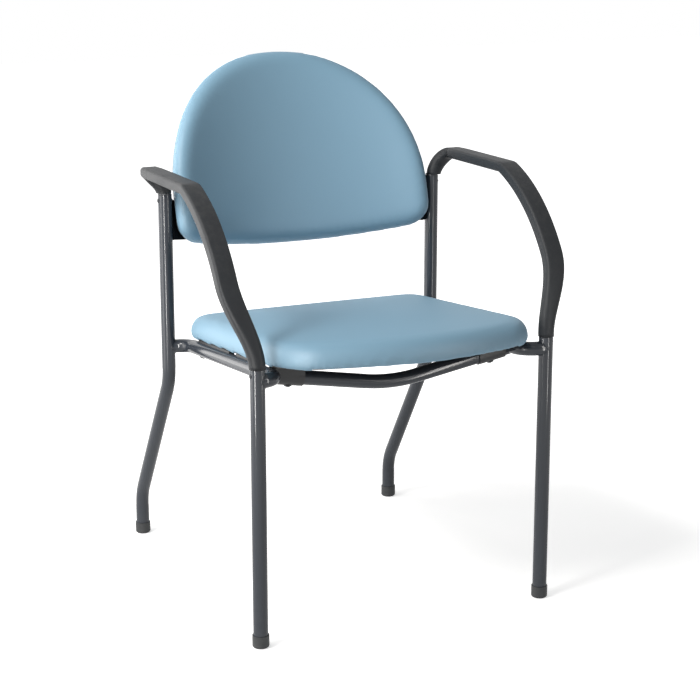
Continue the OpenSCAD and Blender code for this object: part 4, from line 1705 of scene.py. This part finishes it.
@dataclass(frozen=True)
class Studio:
    """The white floor, the lamps and the camera of the photograph.

    Attributes:
        focal: The lens, in pixels of the photograph.
        sensor: Width of the camera's sensor, in millimetres.
        camera_place: The camera's place, in metres.
        camera_tilt: Its tilt up from looking straight down, in degrees.
        camera_turn: Its turn about the vertical, in degrees.
        ambient: Strength of the world's light.
        ambient_colour: Its colour.
        floor_size: Half the floor's width.
        floor_grey: How much light the floor gives back.
        near_glow: How bright the floor looks by itself near the chair.
        more_glow: How much brighter it looks far from the chair.
        glow_start: Distance at which it begins to look brighter.
        glow_end: Distance from which it stays so.
        lamps: The lamps.
    """

    focal: float = 1818.3
    sensor: float = 36.0
    camera_place: tuple[float, float, float] = (-1.15838, -2.55675, 1.08042)
    camera_tilt: float = 75.82
    camera_turn: float = -24.70
    ambient: float = 0.20
    ambient_colour: Colour = (0.95, 0.98, 1.0)
    floor_size: float = 9.0
    floor_grey: float = 0.86
    near_glow: float = 0.6
    more_glow: float = 0.5
    glow_start: float = 0.5
    glow_end: float = 1.4
    lamps: tuple[Lamp, ...] = (
        Lamp("key_high", azimuth=74.0, height=2.6, width=1.1, tall=1.2, power=108.0),
        Lamp("key_low", azimuth=85.0, height=0.95, width=1.1, tall=1.85, power=10.0),
        Lamp("side_high", azimuth=110.0, height=2.6, width=1.1, tall=1.2, power=22.0),
        Lamp("front_high", azimuth=35.0, height=2.6, width=1.1, tall=1.2, power=5.0),
        Lamp("front_low", azimuth=55.0, height=0.95, width=0.3, tall=1.85, power=4.0),
        Lamp(
            "near_left", azimuth=55.0, height=0.55, width=0.08, tall=0.8, power=9.0,
            distance=0.97, mirrored=True,
        ),
        Lamp(
            "near_side", azimuth=98.0, height=0.55, width=0.35, tall=0.9, power=4.0,
            distance=1.1, mirrored=True,
        ),
        Lamp(
            "near_right", azimuth=-25.0, height=0.55, width=0.06, tall=0.8, power=3.0,
            distance=0.9, mirrored=True,
        ),
        Lamp("side_strip", azimuth=114.0, height=0.9, width=0.22, tall=1.8, power=8.0),
        Lamp("rear_low", azimuth=145.0, height=0.95, width=1.1, tall=1.85, power=24.0),
        Lamp("rim_low", azimuth=175.0, height=0.95, width=1.1, tall=1.85, power=5.0),
    )

    def camera(self) -> None:
        """Sets up the camera at the photograph's place and lens."""
        data = bpy.data.cameras.new("camera")
        data.sensor_width = self.sensor
        data.lens = self.focal * data.sensor_width / PHOTO_WIDTH
        made = bpy.data.objects.new("camera", data)
        made.location = self.camera_place
        tilt, turn = math.radians(self.camera_tilt), math.radians(self.camera_turn)
        made.rotation_euler = Euler((tilt, 0.0, turn), "XYZ")
        bpy.context.scene.collection.objects.link(made)
        bpy.context.scene.camera = made

    def world(self) -> None:
        """A world that is white to the camera and to glossy surfaces, and dimmer as a light."""
        world = bpy.data.worlds.new("studio")
        bpy.context.scene.world = world
        world.use_nodes = True
        world.node_tree.nodes.clear()
        tree = Tree(world.node_tree)
        out = tree.add("ShaderNodeOutputWorld")
        seen, lit = tree.add("ShaderNodeBackground"), tree.add("ShaderNodeBackground")
        seen.inputs["Strength"].default_value = 1.0
        seen.inputs["Color"].default_value = (1.0, 1.0, 1.0, 1.0)
        lit.inputs["Strength"].default_value = self.ambient
        lit.inputs["Color"].default_value = (*self.ambient_colour, 1.0)
        blend = tree.add("ShaderNodeMixShader")
        tree.link(self.plainly_seen(tree), blend.inputs[0])
        tree.link(lit.outputs[0], blend.inputs[1])
        tree.link(seen.outputs[0], blend.inputs[2])
        tree.link(blend.outputs[0], out.inputs["Surface"])

    @staticmethod
    def plainly_seen(tree: Tree) -> bpy.types.NodeSocket:
        """One for the rays that should see the white background, and nought for light.

        Args:
            tree: The world's or the floor's nodes.

        Returns:
            The mask's socket.
        """
        path = tree.add("ShaderNodeLightPath")
        glossy, clear = path.outputs["Is Glossy Ray"], path.outputs["Is Transmission Ray"]
        mirrored = tree.maths("ADD", glossy, clear)
        return tree.maths("ADD", path.outputs["Is Camera Ray"], mirrored, clamp=True)

    def floor(self) -> None:
        """A wide pale floor that takes the chair's shadow."""
        mesh = bmesh.new()
        bmesh.ops.create_grid(mesh, x_segments=8, y_segments=8, size=self.floor_size)
        floor = mesh_object("floor", mesh)
        made = bpy.data.materials.new("floor")
        made.use_nodes = True
        made.node_tree.nodes.clear()
        tree = Tree(made.node_tree)
        out = tree.add("ShaderNodeOutputMaterial")
        matt = tree.add("ShaderNodeBsdfDiffuse")
        matt.inputs["Color"].default_value = (*(self.floor_grey,) * 3, 1.0)
        lift = tree.add("ShaderNodeEmission")
        lift.inputs["Color"].default_value = (1.0, 1.0, 1.0, 1.0)
        away = tree.add("ShaderNodeVectorMath", operation="LENGTH")
        tree.link(tree.coordinates(), away.inputs[0])
        far = tree.ramp(away.outputs["Value"], self.glow_start, self.glow_end)
        glow = tree.maths("ADD", tree.maths("MULTIPLY", far, self.more_glow), self.near_glow)
        tree.link(tree.maths("MULTIPLY", self.plainly_seen(tree), glow), lift.inputs["Strength"])
        both = tree.add("ShaderNodeAddShader")
        tree.link(matt.outputs[0], both.inputs[0])
        tree.link(lift.outputs[0], both.inputs[1])
        tree.link(both.outputs[0], out.inputs["Surface"])
        floor.data.materials.append(made)
        floor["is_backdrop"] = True

    def build(self) -> None:
        """Sets up everything that isn't the chair."""
        scene = bpy.context.scene
        scene.view_settings.view_transform = "Standard"
        self.world()
        self.floor()
        self.camera()
        for lamp in self.lamps:
            lamp.hang()


# The whole chair


def main() -> None:
    """Builds the chair's looks and the studio round it."""
    logging.basicConfig(level=logging.INFO, format="%(message)s")
    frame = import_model()
    slots = {row["node"]: row["material_slot"] for row in frame["record"]["subparts"]}
    for name, node in frame["nodes"].items():
        wear(node, slots[name])
    LOG.info("CAD nodes dressed: %d", len(frame["nodes"]))
    cushions = [SeatCushion().build(Stuffing()), BackCushion().build(Stuffing())]
    for cushion in cushions:
        wear(cushion, "vinyl")
    wear(BackShell().build(), "black_nylon")
    for side in Side:
        wear(Arm(side).build(), "arm_urethane")
    for bead in weld_beads():
        wear(bead, "frame_paint")
    Studio().build()
    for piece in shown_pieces():
        LOG.info("piece %s: %d faces", piece.name, len(getattr(piece.data, "polygons", ())))


if __name__ == "__main__":
    main()
